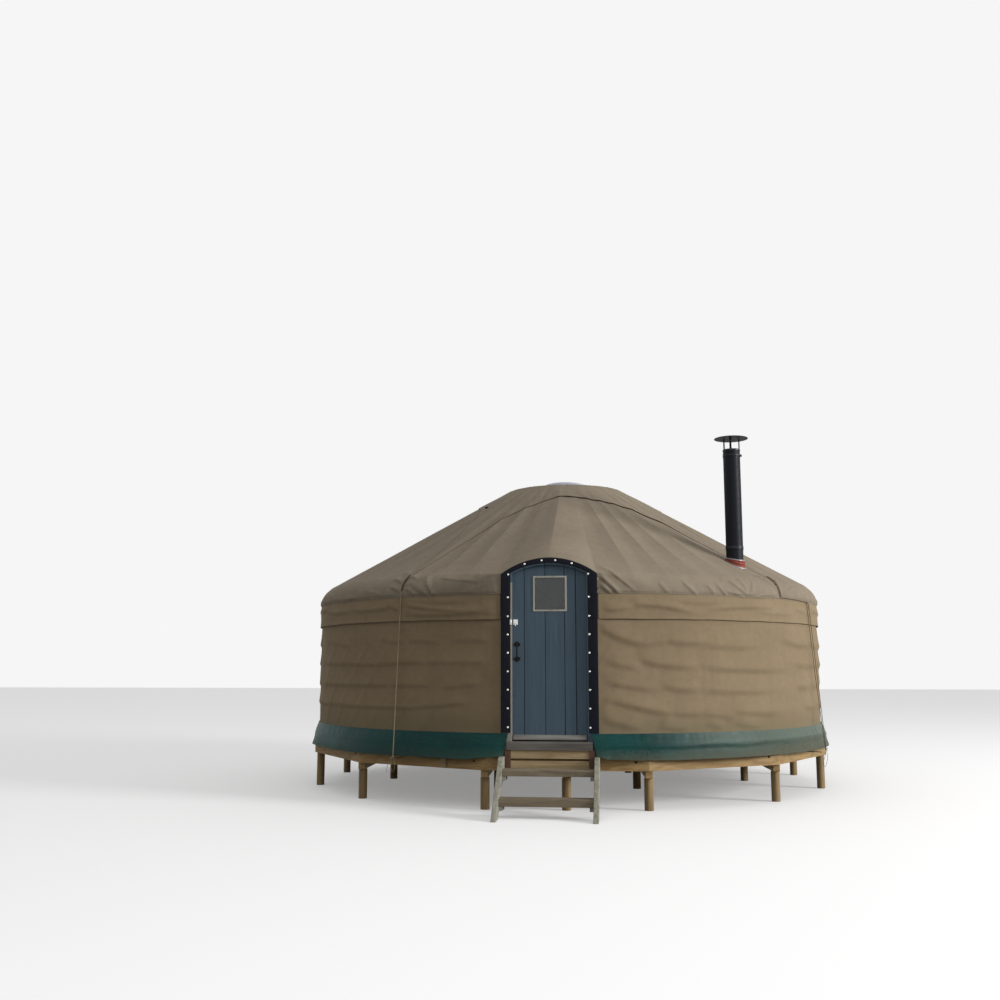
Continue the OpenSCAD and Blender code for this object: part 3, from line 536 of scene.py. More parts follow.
def tubeAlong(bm, points, radius, sides=8, closed=False):  # a round tube through the points, with UV
    layer = bm.loops.layers.uv.verify()
    rings, run, runs = [], 0.0, []
    count = len(points)
    normal = None
    for i, point in enumerate(points):
        before = points[i - 1] if i or closed else point
        after = points[(i + 1) % count] if i + 1 < count or closed else point
        along = (after - before).normalized()
        if normal is None:
            normal = along.orthogonal().normalized()
        normal = (normal - along * normal.dot(along)).normalized()
        side = along.cross(normal)
        size = radius(i / (count - 1)) if callable(radius) else radius
        ring = bmesh.ops.create_circle(bm, segments=sides, radius=size)["verts"]
        turn = Matrix((normal, side, along)).transposed().to_4x4()
        bmesh.ops.transform(bm, matrix=Matrix.Translation(point) @ turn, verts=ring)
        run += (point - points[i - 1]).length if i else 0.0
        rings.append(ring)
        runs.append(run)
    pairs = list(zip(range(count - 1), range(1, count))) + ([(count - 1, 0)] if closed else [])
    for a, b in pairs:
        for k in range(sides):
            m = (k + 1) % sides
            face = bm.faces.new((rings[a][k], rings[a][m], rings[b][m], rings[b][k]))
            end = runs[b] if b else run
            for loop, u, v in zip(face.loops, (k, k + 1, k + 1, k), (runs[a], runs[a], end, end)):
                loop[layer].uv = (u / sides, v)
    if not closed:
        bm.faces.new(list(reversed(rings[0])))
        bm.faces.new(rings[-1])


def curveThrough(points, steps):  # a smooth line through a few points
    line = []
    padded = [points[0] * 2 - points[1]] + list(points) + [points[-1] * 2 - points[-2]]
    for i in range(1, len(padded) - 2):
        p0, p1, p2, p3 = padded[i - 1 : i + 3]
        for s in range(steps):
            t = s / steps
            line.append(0.5 * (2 * p1 + (p2 - p0) * t + (2 * p0 - 5 * p1 + 4 * p2 - p3) * t * t
                               + (3 * p1 - p0 - 3 * p2 + p3) * t**3))
    return line + [points[-1].copy()]


def addBox(bm, low, high):
    middle = [(a + b) / 2 for a, b in zip(low, high)]
    size = [b - a for a, b in zip(low, high)]
    matrix = Matrix.Translation(middle) @ Matrix.Diagonal((*size, 1))
    return bmesh.ops.create_cube(bm, size=1.0, matrix=matrix)["verts"]


def spinShape(bm, profile, centre, steps=48):  # turns an open or closed r, z outline round a vertical axis
    verts = [bm.verts.new((centre[0] + r, centre[1], z)) for r, z in profile]
    edges = [bm.edges.new(pair) for pair in zip(verts, verts[1:])]
    bmesh.ops.spin(bm, geom=verts + edges, cent=(centre[0], centre[1], 0), axis=(0, 0, 1),
                   angle=2 * math.pi, steps=steps, use_merge=True)


def softEdges(piece, width, segments=2, angle=35):
    weld = piece.modifiers.new("weld", "WELD")
    weld.merge_threshold = 1e-5
    bevel = piece.modifiers.new("bevel", "BEVEL")
    bevel.width = width
    bevel.segments = segments
    bevel.limit_method = "ANGLE"
    bevel.angle_limit = math.radians(angle)


# Wall canvas

wallSet = {
    "radius": 3.2,
    "foot": 0.771,
    "top": 2.205,
    "cover": 0.012,
    "doorSide": 9.03,
    "laps": (30, 90, 150, 210, 270, 330),
    "rows": (1.725, 1.492, 1.252, 1.012),
    "latheRise": 1.245,
    "step": 0.026,
    # reach above and below a fold's edge, and the share of its length that tapers
    "tight": (0.17, 0.036, 0.18),
    "loose": (0.21, 0.080, 0.36),
    # lower edges of the folds in front: azimuth and z at the start, middle and end, and the height of the fold
    "folds": (
        ((-66, 1.502), (-46, 1.495), (-37, 1.481), 0.011),
        ((-38.5, 1.482), (-32, 1.512), (-25, 1.505), 0.011),
        ((-25, 1.505), (-19, 1.506), (-12.5, 1.502), 0.009),
        ((-65, 1.256), (-47, 1.252), (-34, 1.262), 0.011),
        ((-34, 1.263), (-28, 1.257), (-24, 1.268), 0.010),
        ((-21, 1.232), (-18, 1.254), (-13.5, 1.285), 0.008),
        ((-69, 1.021), (-51, 1.028), (-40, 1.02), 0.011), ((-42, 1.02), (-34, 1.028), (-27, 1.022), 0.011),
        ((-31, 1.03), (-23.5, 1.034), (-16.5, 1.083), 0.010), ((-65, 1.777), (-52, 1.73), (-48, 1.69), 0.008),
        ((-37, 1.768), (-34, 1.727), (-31, 1.725), 0.009), ((-29, 1.738), (-26, 1.74), (-22, 1.716), 0.009),
        ((-19, 1.731), (-16.4, 1.744), (-12, 1.728), 0.008),
        ((9.3, 1.885), (13.3, 1.735), (18.5, 1.697), 0.016), ((16.2, 1.7), (19.2, 1.7), (23, 1.756), 0.013),
        ((22, 1.752), (25.4, 1.7), (31, 1.737), 0.015), ((30.2, 1.704), (35.7, 1.664), (44, 1.694), 0.013),
        ((10.6, 1.535), (14.1, 1.458), (17, 1.453), 0.012), ((17, 1.543), (22.1, 1.46), (28.8, 1.472), 0.017),
        ((29.5, 1.474), (35.5, 1.422), (54.4, 1.445), 0.015),
        ((10.6, 1.315), (14.3, 1.255), (20.2, 1.239), 0.014),
        ((21, 1.284), (25.1, 1.218), (29, 1.238), 0.014),
        ((29.2, 1.241), (35.4, 1.198), (48.4, 1.212), 0.014),
        ((10.4, 1.14), (16.8, 1.045), (24, 0.98), 0.017), ((23.1, 0.987), (26.3, 0.974), (30, 1.002), 0.014),
        ((29.4, 0.988), (33.4, 0.955), (37.7, 0.936), 0.013),
        ((36, 0.998), (42.4, 0.962), (51, 0.985), 0.013),
        ((9.4, 0.95), (13, 0.885), (17, 0.838), 0.012), ((21, 0.853), (23.7, 0.826), (26.4, 0.817), 0.010),
        ((30.7, 0.893), (32.6, 0.852), (34.2, 0.815), 0.009),
        ((37.2, 0.884), (40.6, 0.84), (44.2, 0.806), 0.010),
    ),
}


def wallSwags():  # the folds in front, and others of the same kind all round
    rows = list(wallSet["folds"])
    random.seed(5)
    for row, level in enumerate(wallSet["rows"]):
        at = 52.0 + 3 * row
        while at < 288:
            slack = easeIn((200 - at) / 60)
            length = random.uniform(8, 19)
            droop = random.uniform(0.004, 0.014) + slack * random.uniform(0.01, 0.06)
            tilt = random.uniform(-0.02, 0.02) * (0.3 + slack)
            z = level - 0.012 * slack + random.uniform(-0.008, 0.008)
            rows.append(((at, z + droop * 0.6 + tilt), (at + length / 2, z - droop * 0.5),
                         (at + length, z + droop * 0.6 - tilt), random.uniform(0.009, 0.012) + 0.004 * slack))
            at += length * random.uniform(0.82, 1.15)
    reach = math.radians(1) * wallSet["radius"]
    loose = [row for row in rows if 0 < row[0][0] < 160]
    tight = [row for row in rows if row not in loose]
    return makeFolds(tight, reach, *wallSet["tight"]) + makeFolds(loose, reach, *wallSet["loose"])


def byStretch(folds, stretch=0.5):  # sorts folds by where they lie, so that a point meets only its neighbours
    found = {}
    for fold in folds:
        line, above = fold[0], fold[2]
        low, high = line[0][0] - above, line[-1][0] + above
        for k in range(math.floor(min(low, high) / stretch), math.floor(max(low, high) / stretch) + 1):
            found.setdefault(k, []).append(fold)
    return found


wallFolds = byStretch(wallSwags())


def slackness(azimuth):  # the right side hangs slacker than the left
    return mixed(0.45, 1.0, easeIn((signed(azimuth) - 5) / 35) * easeIn((170 - signed(azimuth)) / 40))


def ledgeShape(azimuth, z):
    total = 0.0
    for a in (azimuth, azimuth - 360):  # the folds in front are written with azimuths below 0 too
        x = a * math.radians(1) * wallSet["radius"]
        total = max(total, foldHeight(x, z, wallFolds.get(math.floor(x / 0.5), ())))
    return total


def lathMarks(azimuth, z):  # where the outer laths press from inside: a soft step along each
    pitch = 7.12
    along = (azimuth - 9.12) / pitch - (z - 1.5) / wallSet["latheRise"] * 2.53
    away = (along - round(along)) * pitch * math.radians(1) * wallSet["radius"]
    held = 1.25 - slackness(azimuth)
    patch = 0.55 + 0.6 * wander(azimuth / 12.0, z * 2.0, 23, 1)
    step = hill(away, 0, 0.10) if away > 0 else hill(away, 0, 0.025)
    return 0.0095 * held * max(0.0, patch) * step * easeIn((1.72 - z) / 0.1)


def wallFold(azimuth, z):
    fade = easeIn((1.93 - z) / 0.04) * easeIn((z - 0.775) / 0.05)
    rumple = 0.0030 * wander(azimuth / 3.5, z * 3.0, 21, 3)
    broad = 0.0045 * wander(azimuth / 11.0, z * 1.2, 22, 2)
    broad += 0.0055 * slackness(azimuth) * wander(azimuth / 17.0, z * 5.0 + azimuth / 60.0, 24, 2)
    edge = min(1.0, easeIn((abs(signed(azimuth)) - wallSet["doorSide"]) / 1.6))
    lap = sum(0.0011 * (1 if 0 < signed(azimuth - at) < 0.5 else 0) for at in wallSet["laps"])
    hem = 0.0035 * easeIn((0.795 - z) / 0.012)
    folds = (mixed(1.15, 1.5, slackness(azimuth)) * ledgeShape(azimuth, z) + lathMarks(azimuth, z)
             + rumple + broad)
    return fade * edge * folds + lap + hem


def makeWall():
    ends = (wallSet["doorSide"], *wallSet["laps"], 360 - wallSet["doorSide"])
    height = wallSet["top"] - wallSet["foot"]
    for k, (first, last) in enumerate(zip(ends, ends[1:])):
        width = math.radians(last - first) * wallSet["radius"]
        columns, rows = round(width / wallSet["step"]), 74

        def place(u, v):
            azimuth = mixed(first, last, u)
            z = mixed(wallSet["foot"], wallSet["top"], v)
            return around(wallSet["radius"] + wallFold(azimuth, z), azimuth, z)

        bm = clothGrid(columns, rows, (width, height), place)
        piece = newPiece(f"wall_canvas_{k + 1}", bm, ("wall", "lining"),
                         replaced=(f"wall_{k + 1}",))
        thicken(piece, wallSet["cover"], True)


makeWall()
print("wall canvas hung")

# Roof canvas

roofSet = {
    "radius": 3.2123,
    "eave": 2.211,
    "shoulder": 0.274,
    "pitch": 29.7,
    "crown": 0.760,
    "cover": 0.012,
    "hood": 23.36,
    "frontRadius": 3.175,
    "archRadius": 0.824,
    "archCentre": 1.757,
    "frameHalf": 0.5,
    "overArch": 0.015,
    "polePitch": 7.12,
    "poleStart": 9.12,
    "sag": (0.008, 0.014),
    "puff": 0.013,
}
ropeSet = {
    "falls": (-31.0, 64.5, 139.0, 229.0),
    "over": 0.010,
    "lowRadius": 3.316,
    "hookZ": 0.485,
    "thick": 0.0055,
    "thin": 0.0036,
    "strap": (0.020, 0.003),
    # the two thin strands of the right rope: azimuth at the eave, half way down and at the skirt
    "strands": ((64.6, 65.8, 68.2), (65.9, 67.4, 68.9)),
}
capSet = {"tips": (-31.0, 51.8, 139.0, 229.0), "inner": 0.395, "lift": 0.005, "cloth": 0.003, "tip": 3.165,
          "fan": 0.026, "gape": 0.010}
roofSet["slope"] = math.tan(math.radians(roofSet["pitch"]))
roofSet["corner"] = roofSet["eave"] + roofSet["shoulder"] * math.tan(math.radians(90 - roofSet["pitch"]) / 2)
roofSet["top"] = roofSet["corner"] + (roofSet["radius"] - roofSet["crown"]) * roofSet["slope"] - 0.003
poleAzimuths = [-8.75, 0.0, 8.75] + [roofSet["poleStart"] + roofSet["polePitch"] * k for k in range(1, 48)]
poleAzimuths = sorted(signed(a) for a in poleAzimuths)


def hoodShare(azimuth):
    side = wallSet["doorSide"]
    return 0.0 if abs(azimuth) <= side else easeIn((abs(azimuth) - side) / (roofSet["hood"] - side))


def hoodHead(azimuth):
    x = min(abs(roofSet["frontRadius"] * math.tan(math.radians(azimuth))), roofSet["frameHalf"])
    return roofSet["archCentre"] + math.sqrt(roofSet["archRadius"] ** 2 - x * x) + roofSet["overArch"]


# the section at one azimuth: outer radius, corner height, fillet, slope and lowest height
def roofLine(azimuth):
    a = signed(azimuth)
    if abs(a) >= roofSet["hood"]:
        return roofSet["radius"], roofSet["corner"], roofSet["shoulder"], roofSet["slope"], roofSet["eave"]
    share = hoodShare(a)
    front = roofSet["frontRadius"] / math.cos(math.radians(min(abs(a), wallSet["doorSide"])))
    radius = mixed(front, roofSet["radius"], share)
    corner = mixed(hoodHead(a), roofSet["corner"], share)
    low = hoodHead(a) - 0.012 if abs(a) <= wallSet["doorSide"] else roofSet["eave"]
    slope = (roofSet["top"] - corner) / (radius - roofSet["crown"])
    return radius, corner, mixed(0.016, roofSet["shoulder"], share), slope, low


def poleBay(azimuth):  # the two poles beside a point: the bay's middle, half width and number
    a = signed(azimuth)
    for k, left in enumerate(poleAzimuths):
        right = poleAzimuths[k + 1] if k + 1 < len(poleAzimuths) else poleAzimuths[0] + 360
        if left <= a <= right or (k + 1 == len(poleAzimuths) and a < poleAzimuths[0]):
            if a < poleAzimuths[0]:
                a += 360
            return (left + right) / 2, (right - left) / 2, k, a
    return 0.0, 1.0, 0, a


# how far the canvas lies inside its full radius, as it runs straight between poles
def facet(azimuth, share):
    middle, half, number, a = poleBay(azimuth)
    flat = math.cos(math.radians(half)) / math.cos(math.radians(a - middle))
    return 1 + share * (flat - 1)


def poleSag(azimuth, q):  # q runs from 0 at the shoulder to 1 at the crown
    middle, half, number, a = poleBay(azimuth)
    t = min(1.0, abs(a - middle) / half)
    least, more = roofSet["sag"]
    depth = least + more * (0.5 + 0.5 * wander(number * 1.37, 0.4, 31, 1))
    return -depth * (1 - t**1.6) * math.sin(math.pi * min(1.0, max(0.0, q)) ** 0.75)


creaseSet = {
    # azimuth and z at the start, middle and end of each crease over the shoulder, and its height
    "creases": (
        ((-35, 2.50), (-31.7, 2.47), (-28.6, 2.41), 0.015), ((-35, 2.42), (-32, 2.385), (-29.4, 2.33), 0.015),
        ((-34.5, 2.33), (-32, 2.285), (-30.2, 2.245), 0.014),
        ((-27.6, 2.34), (-26.2, 2.27), (-24.4, 2.205), 0.016),
        ((-26, 2.44), (-25, 2.32), (-22.8, 2.203), 0.017), ((-22, 2.40), (-19, 2.36), (-13, 2.35), 0.007),
        ((-30.4, 2.31), (-28.4, 2.26), (-27.4, 2.21), 0.012),
        ((-29.6, 2.38), (-28, 2.31), (-25.6, 2.24), 0.010),
        ((-42.4, 2.35), (-41, 2.285), (-41, 2.235), 0.007), ((-52, 2.2), (-49, 2.245), (-45, 2.225), 0.007),
        ((-37, 2.25), (-39, 2.29), (-43, 2.31), 0.007), ((-60, 2.32), (-57, 2.27), (-56, 2.22), 0.006),
        ((-13.8, 2.46), (-13.0, 2.34), (-14.4, 2.24), 0.003), ((-10.2, 2.40), (-12, 2.3), (-16, 2.25), 0.004),
        ((8.8, 2.43), (11.6, 2.29), (13.1, 2.205), 0.017), ((9.0, 2.33), (10.4, 2.26), (11.7, 2.205), 0.013),
        ((9.6, 2.52), (13, 2.38), (16, 2.24), 0.008), ((26, 2.34), (27.2, 2.26), (28.9, 2.205), 0.010),
        ((31.2, 2.31), (32, 2.265), (32.8, 2.21), 0.008), ((33.7, 2.32), (34.5, 2.26), (35.7, 2.205), 0.011),
        ((37.2, 2.37), (39, 2.28), (41.2, 2.21), 0.012), ((44, 2.38), (42.7, 2.29), (41.3, 2.21), 0.011),
        ((34.6, 2.27), (37.6, 2.235), (40.6, 2.205), 0.009), ((50, 2.27), (46, 2.235), (42.4, 2.206), 0.010),
        ((48, 2.31), (44.6, 2.27), (41.6, 2.212), 0.009), ((40.1, 2.42), (40.7, 2.32), (41, 2.215), 0.008),
        ((54, 2.47), (52.6, 2.38), (51.9, 2.28), 0.010), ((47.4, 2.49), (50, 2.39), (51.2, 2.28), 0.010),
        ((59, 2.36), (55.4, 2.3), (52.6, 2.25), 0.008), ((21, 2.33), (21.6, 2.27), (22.8, 2.215), 0.006),
    ),
    "backTips": (139.0, 229.0),
    "strength": 1.5,
}


def shoulderCreases():  # the creases in front, a fan at each strap behind, and gathers between
    rows = list(creaseSet["creases"])
    for tip in creaseSet["backTips"]:
        for start, high, end in ((-4.2, 2.5, -1.0), (-3.6, 2.4, -1.2), (-2.8, 2.31, -0.8), (4.4, 2.48, 1.2),
                                 (3.4, 2.38, 1.0), (5.6, 2.33, 2.2)):
            rows.append(((tip + start, high), (tip + mixed(start, end, 0.6), high - 0.09),
                         (tip + end, 2.22), 0.011))
    random.seed(8)
    at = 60.0
    while at < 296:
        if min(abs(at - tip) for tip in creaseSet["backTips"]) > 6:
            lean = random.uniform(-2.2, 2.2)
            top = random.uniform(2.27, 2.4)
            rows.append(((at, top), (at + lean * 0.5, mixed(top, 2.205, 0.55)), (at + lean, 2.205),
                         random.uniform(0.005, 0.010)))
        at += random.uniform(1.6, 6.5)
    return makeFolds(rows, math.radians(1) * roofSet["radius"], 0.055, 0.020, 0.3)


roofFolds = byStretch(shoulderCreases())


def creaseHeight(azimuth, z):
    if z > 2.62:
        return 0.0
    total = 0.0
    for a in (azimuth % 360, azimuth % 360 - 360):
        x = a * math.radians(1) * roofSet["radius"]
        total = max(total, foldHeight(x, z, roofFolds.get(math.floor(x / 0.5), ())))
    under = max(hill(signed(azimuth - tip), 0, 1.5) for tip in capSet["tips"])
    return creaseSet["strength"] * total * (1 - 0.92 * under)


def strapPress(azimuth):  # 1 under a strap or its rope, where the cloth is held down
    return max(hill(signed(azimuth - tip), 0, 2.6) for tip in capSet["tips"])


def shoulderPuff(azimuth, z):  # the cloth hangs out over the eave seam and tucks in under it
    up = z - roofSet["eave"]
    full = easeIn(up / 0.028) * (1 - easeIn((up - 0.05) / 0.22))
    vary = 0.75 + 0.45 * wander(azimuth / 5.5, 0.2, 33, 2)
    return roofSet["puff"] * full * max(0.2, vary) * (1 - 0.8 * strapPress(azimuth))


def eavePuckers(azimuth, z):  # small gathers just above the eave seam
    up = z - roofSet["eave"]
    patch = 0.5 + 0.6 * wander(azimuth / 16.0, 0.7, 41, 1)
    wave = wander(azimuth / 0.95, up * 3, 43, 2)
    return 0.0058 * max(0.0, patch) * wave * easeIn(1 - up / 0.15) * easeIn(up / 0.012)


def roofFold(azimuth, z, q):  # the height of the canvas over its plain shape
    a = signed(azimuth)
    up = max(0.0, z - roofSet["eave"])
    broad = 0.0040 * wander(a / 8.0, z * 1.6, 51, 2) * min(1, up / 0.3)
    shoulder = 0.0042 * wander(a / 3.2, z * 6.0, 53, 2) * hill(up, 0.20, 0.3)
    tight = easeIn((abs(a) - wallSet["doorSide"]) / 1.5)
    low = shoulderPuff(azimuth, z) + creaseHeight(a, z) + eavePuckers(azimuth, z) + shoulder
    return poleSag(azimuth, q) + (tight if up < 0.45 else 1.0) * low + broad


def roofPoint(azimuth, v):  # a point on the folded roof, v from 0 at its lower edge to 1 at the crown
    radius, corner, fillet, slope, low = roofLine(azimuth)
    turn = math.pi / 2 - math.atan(slope)
    start = corner - fillet * math.tan(turn / 2)
    upright = 0.02 + 0.12 * easeIn((start - low) / 0.12)
    shoulder = 0.30
    if v < upright:
        r, z, outR, outZ = radius, mixed(low, start, v / upright), 1.0, 0.0
        q = 0.0
    elif v < shoulder:
        b = turn * (v - upright) / (shoulder - upright)
        r, z = radius - fillet + fillet * math.cos(b), start + fillet * math.sin(b)
        outR, outZ, q = math.cos(b), math.sin(b), 0.0
    else:
        q = (v - shoulder) / (1 - shoulder)
        r0, z0 = radius - fillet + fillet * math.cos(turn), start + fillet * math.sin(turn)
        r, z = mixed(r0, roofSet["crown"], q), mixed(z0, roofSet["top"], q)
        outR, outZ = math.cos(turn), math.sin(turn)
    fold = roofFold(azimuth, z, q)
    share = easeIn((v - 0.02) / 0.28)
    return around((r + fold * outR) * facet(azimuth, share), azimuth, z + fold * outZ)


def roofHeight(r, azimuth):  # the folded roof's height at a radius on its straight part, and over the crown
    if r < roofSet["crown"]:
        return roofSet["top"] - (roofSet["crown"] - r) * 0.025
    radius, corner, fillet, slope, low = roofLine(azimuth)
    full = r / facet(azimuth, 1.0)
    shoulderStart = radius - fillet + fillet * math.sin(math.atan(slope))
    if full > shoulderStart:
        reach = min(0.9999, (full - radius + fillet) / fillet)
        z = (corner - fillet * math.tan((math.pi / 2 - math.atan(slope)) / 2)
             + fillet * math.sqrt(1 - reach * reach))
        fold = roofFold(azimuth, z, 0.0)
        return z + fold / max(0.5, math.sqrt(1 - reach * reach))
    z = roofSet["top"] - (full - roofSet["crown"]) * slope
    q = (shoulderStart - full) / (shoulderStart - roofSet["crown"])
    fold = roofFold(azimuth, z, q)
    return z + fold / math.cos(math.atan(slope))


# the unfolded roof between two radii: its slant and its area for a radian
def sectionCut(azimuth, inner, outer):
    radius, corner, fillet, slope, low = roofLine(azimuth)
    turn = math.pi / 2 - math.atan(slope)
    start = corner - fillet * math.tan(turn / 2)
    line = [(inner, roofSet["top"] - (roofSet["crown"] - inner) * 0.025)] if inner < roofSet["crown"] else []
    line.append((roofSet["crown"], roofSet["top"]))
    for k in range(13):
        b = turn * (1 - k / 12)
        line.append((radius - fillet + fillet * math.cos(b), start + fillet * math.sin(b)))
    line.append((radius, low))
    slant = area = 0.0
    for (r0, z0), (r1, z1) in zip(line, line[1:]):
        if r0 >= outer:
            break
        part = 1.0 if r1 <= outer else (outer - r0) / (r1 - r0)
        length = part * math.hypot(r1 - r0, z1 - z0)
        slant += length
        area += length * (r0 + part * (r1 - r0) / 2)
    return slant, area


def sectorCut(first, last, inner, reach, steps):  # the greatest slant and the area that a panel is cut to
    step = (last - first) / steps
    middles = [first + step * (k + 0.5) for k in range(steps)]
    cuts = [sectionCut(azimuth, inner, reach(azimuth)) for azimuth in middles]
    return max(slant for slant, area in cuts), math.radians(step) * sum(area for slant, area in cuts)


flueSet = {
    "place": (2.0555, -1.8345), "hole": 0.108, "body": 0.0975,
    "surface": 2.631,  # the roof's height at the pipe's axis
    # radius and height over the roof, along the boot and the band that clamps it
    "boot": ((0.100, -0.025), (0.120, -0.025), (0.120, 0.008), (0.1185, 0.013), (0.109, 0.016),
             (0.1175, 0.019), (0.1175, 0.026), (0.1085, 0.029), (0.115, 0.032), (0.115, 0.038),
             (0.106, 0.041), (0.1005, 0.043),
             (0.100, -0.025)),
    "clamp": ((0.0985, 0.040), (0.1075, 0.041), (0.1075, 0.050), (0.0985, 0.053), (0.0985, 0.040)),
    "hoop": ((0.119, -0.006), (0.1235, -0.006), (0.1235, 0.004), (0.119, 0.004), (0.119, -0.006)),
    "level": (0.2, 0.036),  # the lean of the clamp, and the height by which the boot has it
    "rings": (2.802, 2.818, 3.889, 3.949),
}


def makeRoof():
    hood = roofSet["hood"]
    span = (360 - 2 * hood) / 5
    names = ["roof_over_door"] + [f"roof_{k + 1}" for k in range(5)]
    starts = [-hood] + [hood + span * k for k in range(5)]
    ends = [hood] + [hood + span * (k + 1) for k in range(5)]
    for name, first, last in zip(names, starts, ends):
        width = math.radians(last - first) * roofSet["radius"]
        slant, flatArea = sectorCut(first, last, roofSet["crown"], lambda azimuth: math.inf, 60)
        fine = name in ("roof_over_door", "roof_1")
        columns, rows = round(width / (0.016 if fine else 0.027)), 104 if fine else 92
        side = wallSet["doorSide"]

        def azimuthAt(u):
            azimuth = mixed(first, last, u)
            if name == "roof_over_door" and abs(abs(azimuth) - side) < 0.25:
                return math.copysign(side + (0.002 if abs(azimuth) > side else 0), azimuth)
            return azimuth

        bm = clothGrid(columns, rows, (width, slant), lambda u, v: roofPoint(azimuthAt(u), v))
        if name == "roof_1":  # the flue's opening
            x, y = flueSet["place"]
            near = [f for f in bm.faces
                    if (f.calc_center_median().xy - Vector((x, y))).length < flueSet["hole"]]
            bmesh.ops.delete(bm, geom=near, context="FACES")
            flatArea -= math.pi * flueSet["hole"] ** 2 / math.cos(math.atan(roofSet["slope"]))
        piece = newPiece(name + "_canvas", bm, ("roof", "lining"), replaced=(name,))
        thicken(piece, roofSet["cover"] * 0.8, True)


makeRoof()
print("roof canvas laid")


def makeFlueTrim():  # the ribbed boot that leans with the roof, its clamp, and the rings round the pipe
    s = flueSet
    x, y = s["place"]
    outward = Vector((x, y)).normalized()
    for name, key, slot, paint, replaced in (
            ("flue_boot", "boot", "flashing", "flashing", ("flue_flashing",)),
            ("boot_clamp", "clamp", "zinc", "clamp", ()),
            ("boot_hoop", "hoop", "zinc", "clamp", ())):
        bm = bmesh.new()
        spinShape(bm, [(r, s["surface"] + h) for r, h in s[key]], (x, y), 72)
        for vert in bm.verts:
            lean = mixed(roofSet["slope"], s["level"][0], easeIn((vert.co.z - s["surface"]) / s["level"][1]))
            vert.co.z -= lean * outward.dot(vert.co.xy - Vector((x, y)))
        newPiece(name, bm, paint, replaced=replaced, fix=True, smooth=False)
    bm = bmesh.new()
    for z in s["rings"]:
        inner, outer = s["body"] - 0.001, s["body"] + 0.005
        spinShape(bm, [(inner, z - 0.006), (outer, z - 0.004), (outer, z + 0.004), (inner, z + 0.006),
                       (inner, z - 0.006)], (x, y), 64)
    lug = s["rings"][2]
    addBox(bm, (x + s["body"], y - 0.012, lug - 0.012), (x + s["body"] + 0.020, y - 0.002, lug + 0.012))
    newPiece("flue_rings", bm, "flueBand", fix=True, smooth=False)


makeFlueTrim()
print("flue boot fitted")

# Valance and eave seam

valanceSet = {
    "hem": 1.946, "radius": 3.2118, "depth": 0.004,
    "folds": (
        ((-35, 2.17), (-33, 2.10), (-31.3, 2.065), 0.013), ((-30.4, 2.15), (-26, 2.05), (-11.4, 2.03), 0.018),
        ((-29.5, 2.05), (-22.5, 1.965), (-9.6, 2.08), 0.014),
        ((-31.5, 2.19), (-25, 2.13), (-16, 2.14), 0.010),
        ((-48, 2.11), (-40, 2.08), (-32.5, 2.12), 0.012), ((-62, 2.13), (-54, 2.07), (-46, 2.1), 0.010),
        ((9.4, 2.06), (12.7, 2.043), (15.8, 2.085), 0.012), ((15.4, 2.105), (21, 2.11), (27.7, 2.03), 0.015),
        ((32.6, 2.07), (39.4, 2.125), (50, 2.099), 0.014), ((24, 2.14), (30, 2.12), (36, 2.15), 0.008),
        ((44, 2.06), (50, 2.03), (57, 2.06), 0.010),
    ),
}


def valanceSwags():
    rows = list(valanceSet["folds"])
    random.seed(12)
    at = 57.0
    while at < 292:
        length, z = random.uniform(8, 17), random.uniform(2.03, 2.14)
        dip = random.uniform(-0.04, 0.05)
        rows.append(((at, z + 0.02), (at + length / 2, z - dip),
                     (at + length, z + random.uniform(-0.02, 0.03)),
                     random.uniform(0.010, 0.016)))
        at += length * random.uniform(0.6, 1.0)
    return makeFolds(rows, math.radians(1) * valanceSet["radius"], 0.10, 0.05, 0.38)


valanceFolds = byStretch(valanceSwags())


def valanceFold(azimuth, v):  # v from 0 at the hem to 1 at the seam
    slack = slackness(azimuth)
    z = mixed(valanceSet["hem"], roofSet["eave"], v)
    folds = 0.0
    for a in (azimuth, azimuth - 360):
        x = a * math.radians(1) * valanceSet["radius"]
        folds = max(folds, foldHeight(x, z, valanceFolds.get(math.floor(x / 0.5), ())))
    wave = wander(azimuth / 6.5, 0.3, 61, 2)
    flare = (1 - v) ** 1.2 * (0.0065 + 0.006 * slack * (0.5 + 0.5 * wave))
    folds *= 1.35
    rumple = 0.0032 * wander(azimuth / 2.2, v * 2.0, 65, 2) * math.sin(math.pi * min(1, v * 1.1))
    hemFold = 0.002 * easeIn((0.085 - v) / 0.02)
    roped = max(hill(signed(azimuth - fall), 0, 1.6) for fall in ropeSet["falls"])
    tucked = easeIn((1 - v) / 0.12)
    return max(-0.002, (flare + folds * (1 - 0.6 * roped) + rumple) * tucked + hemFold)


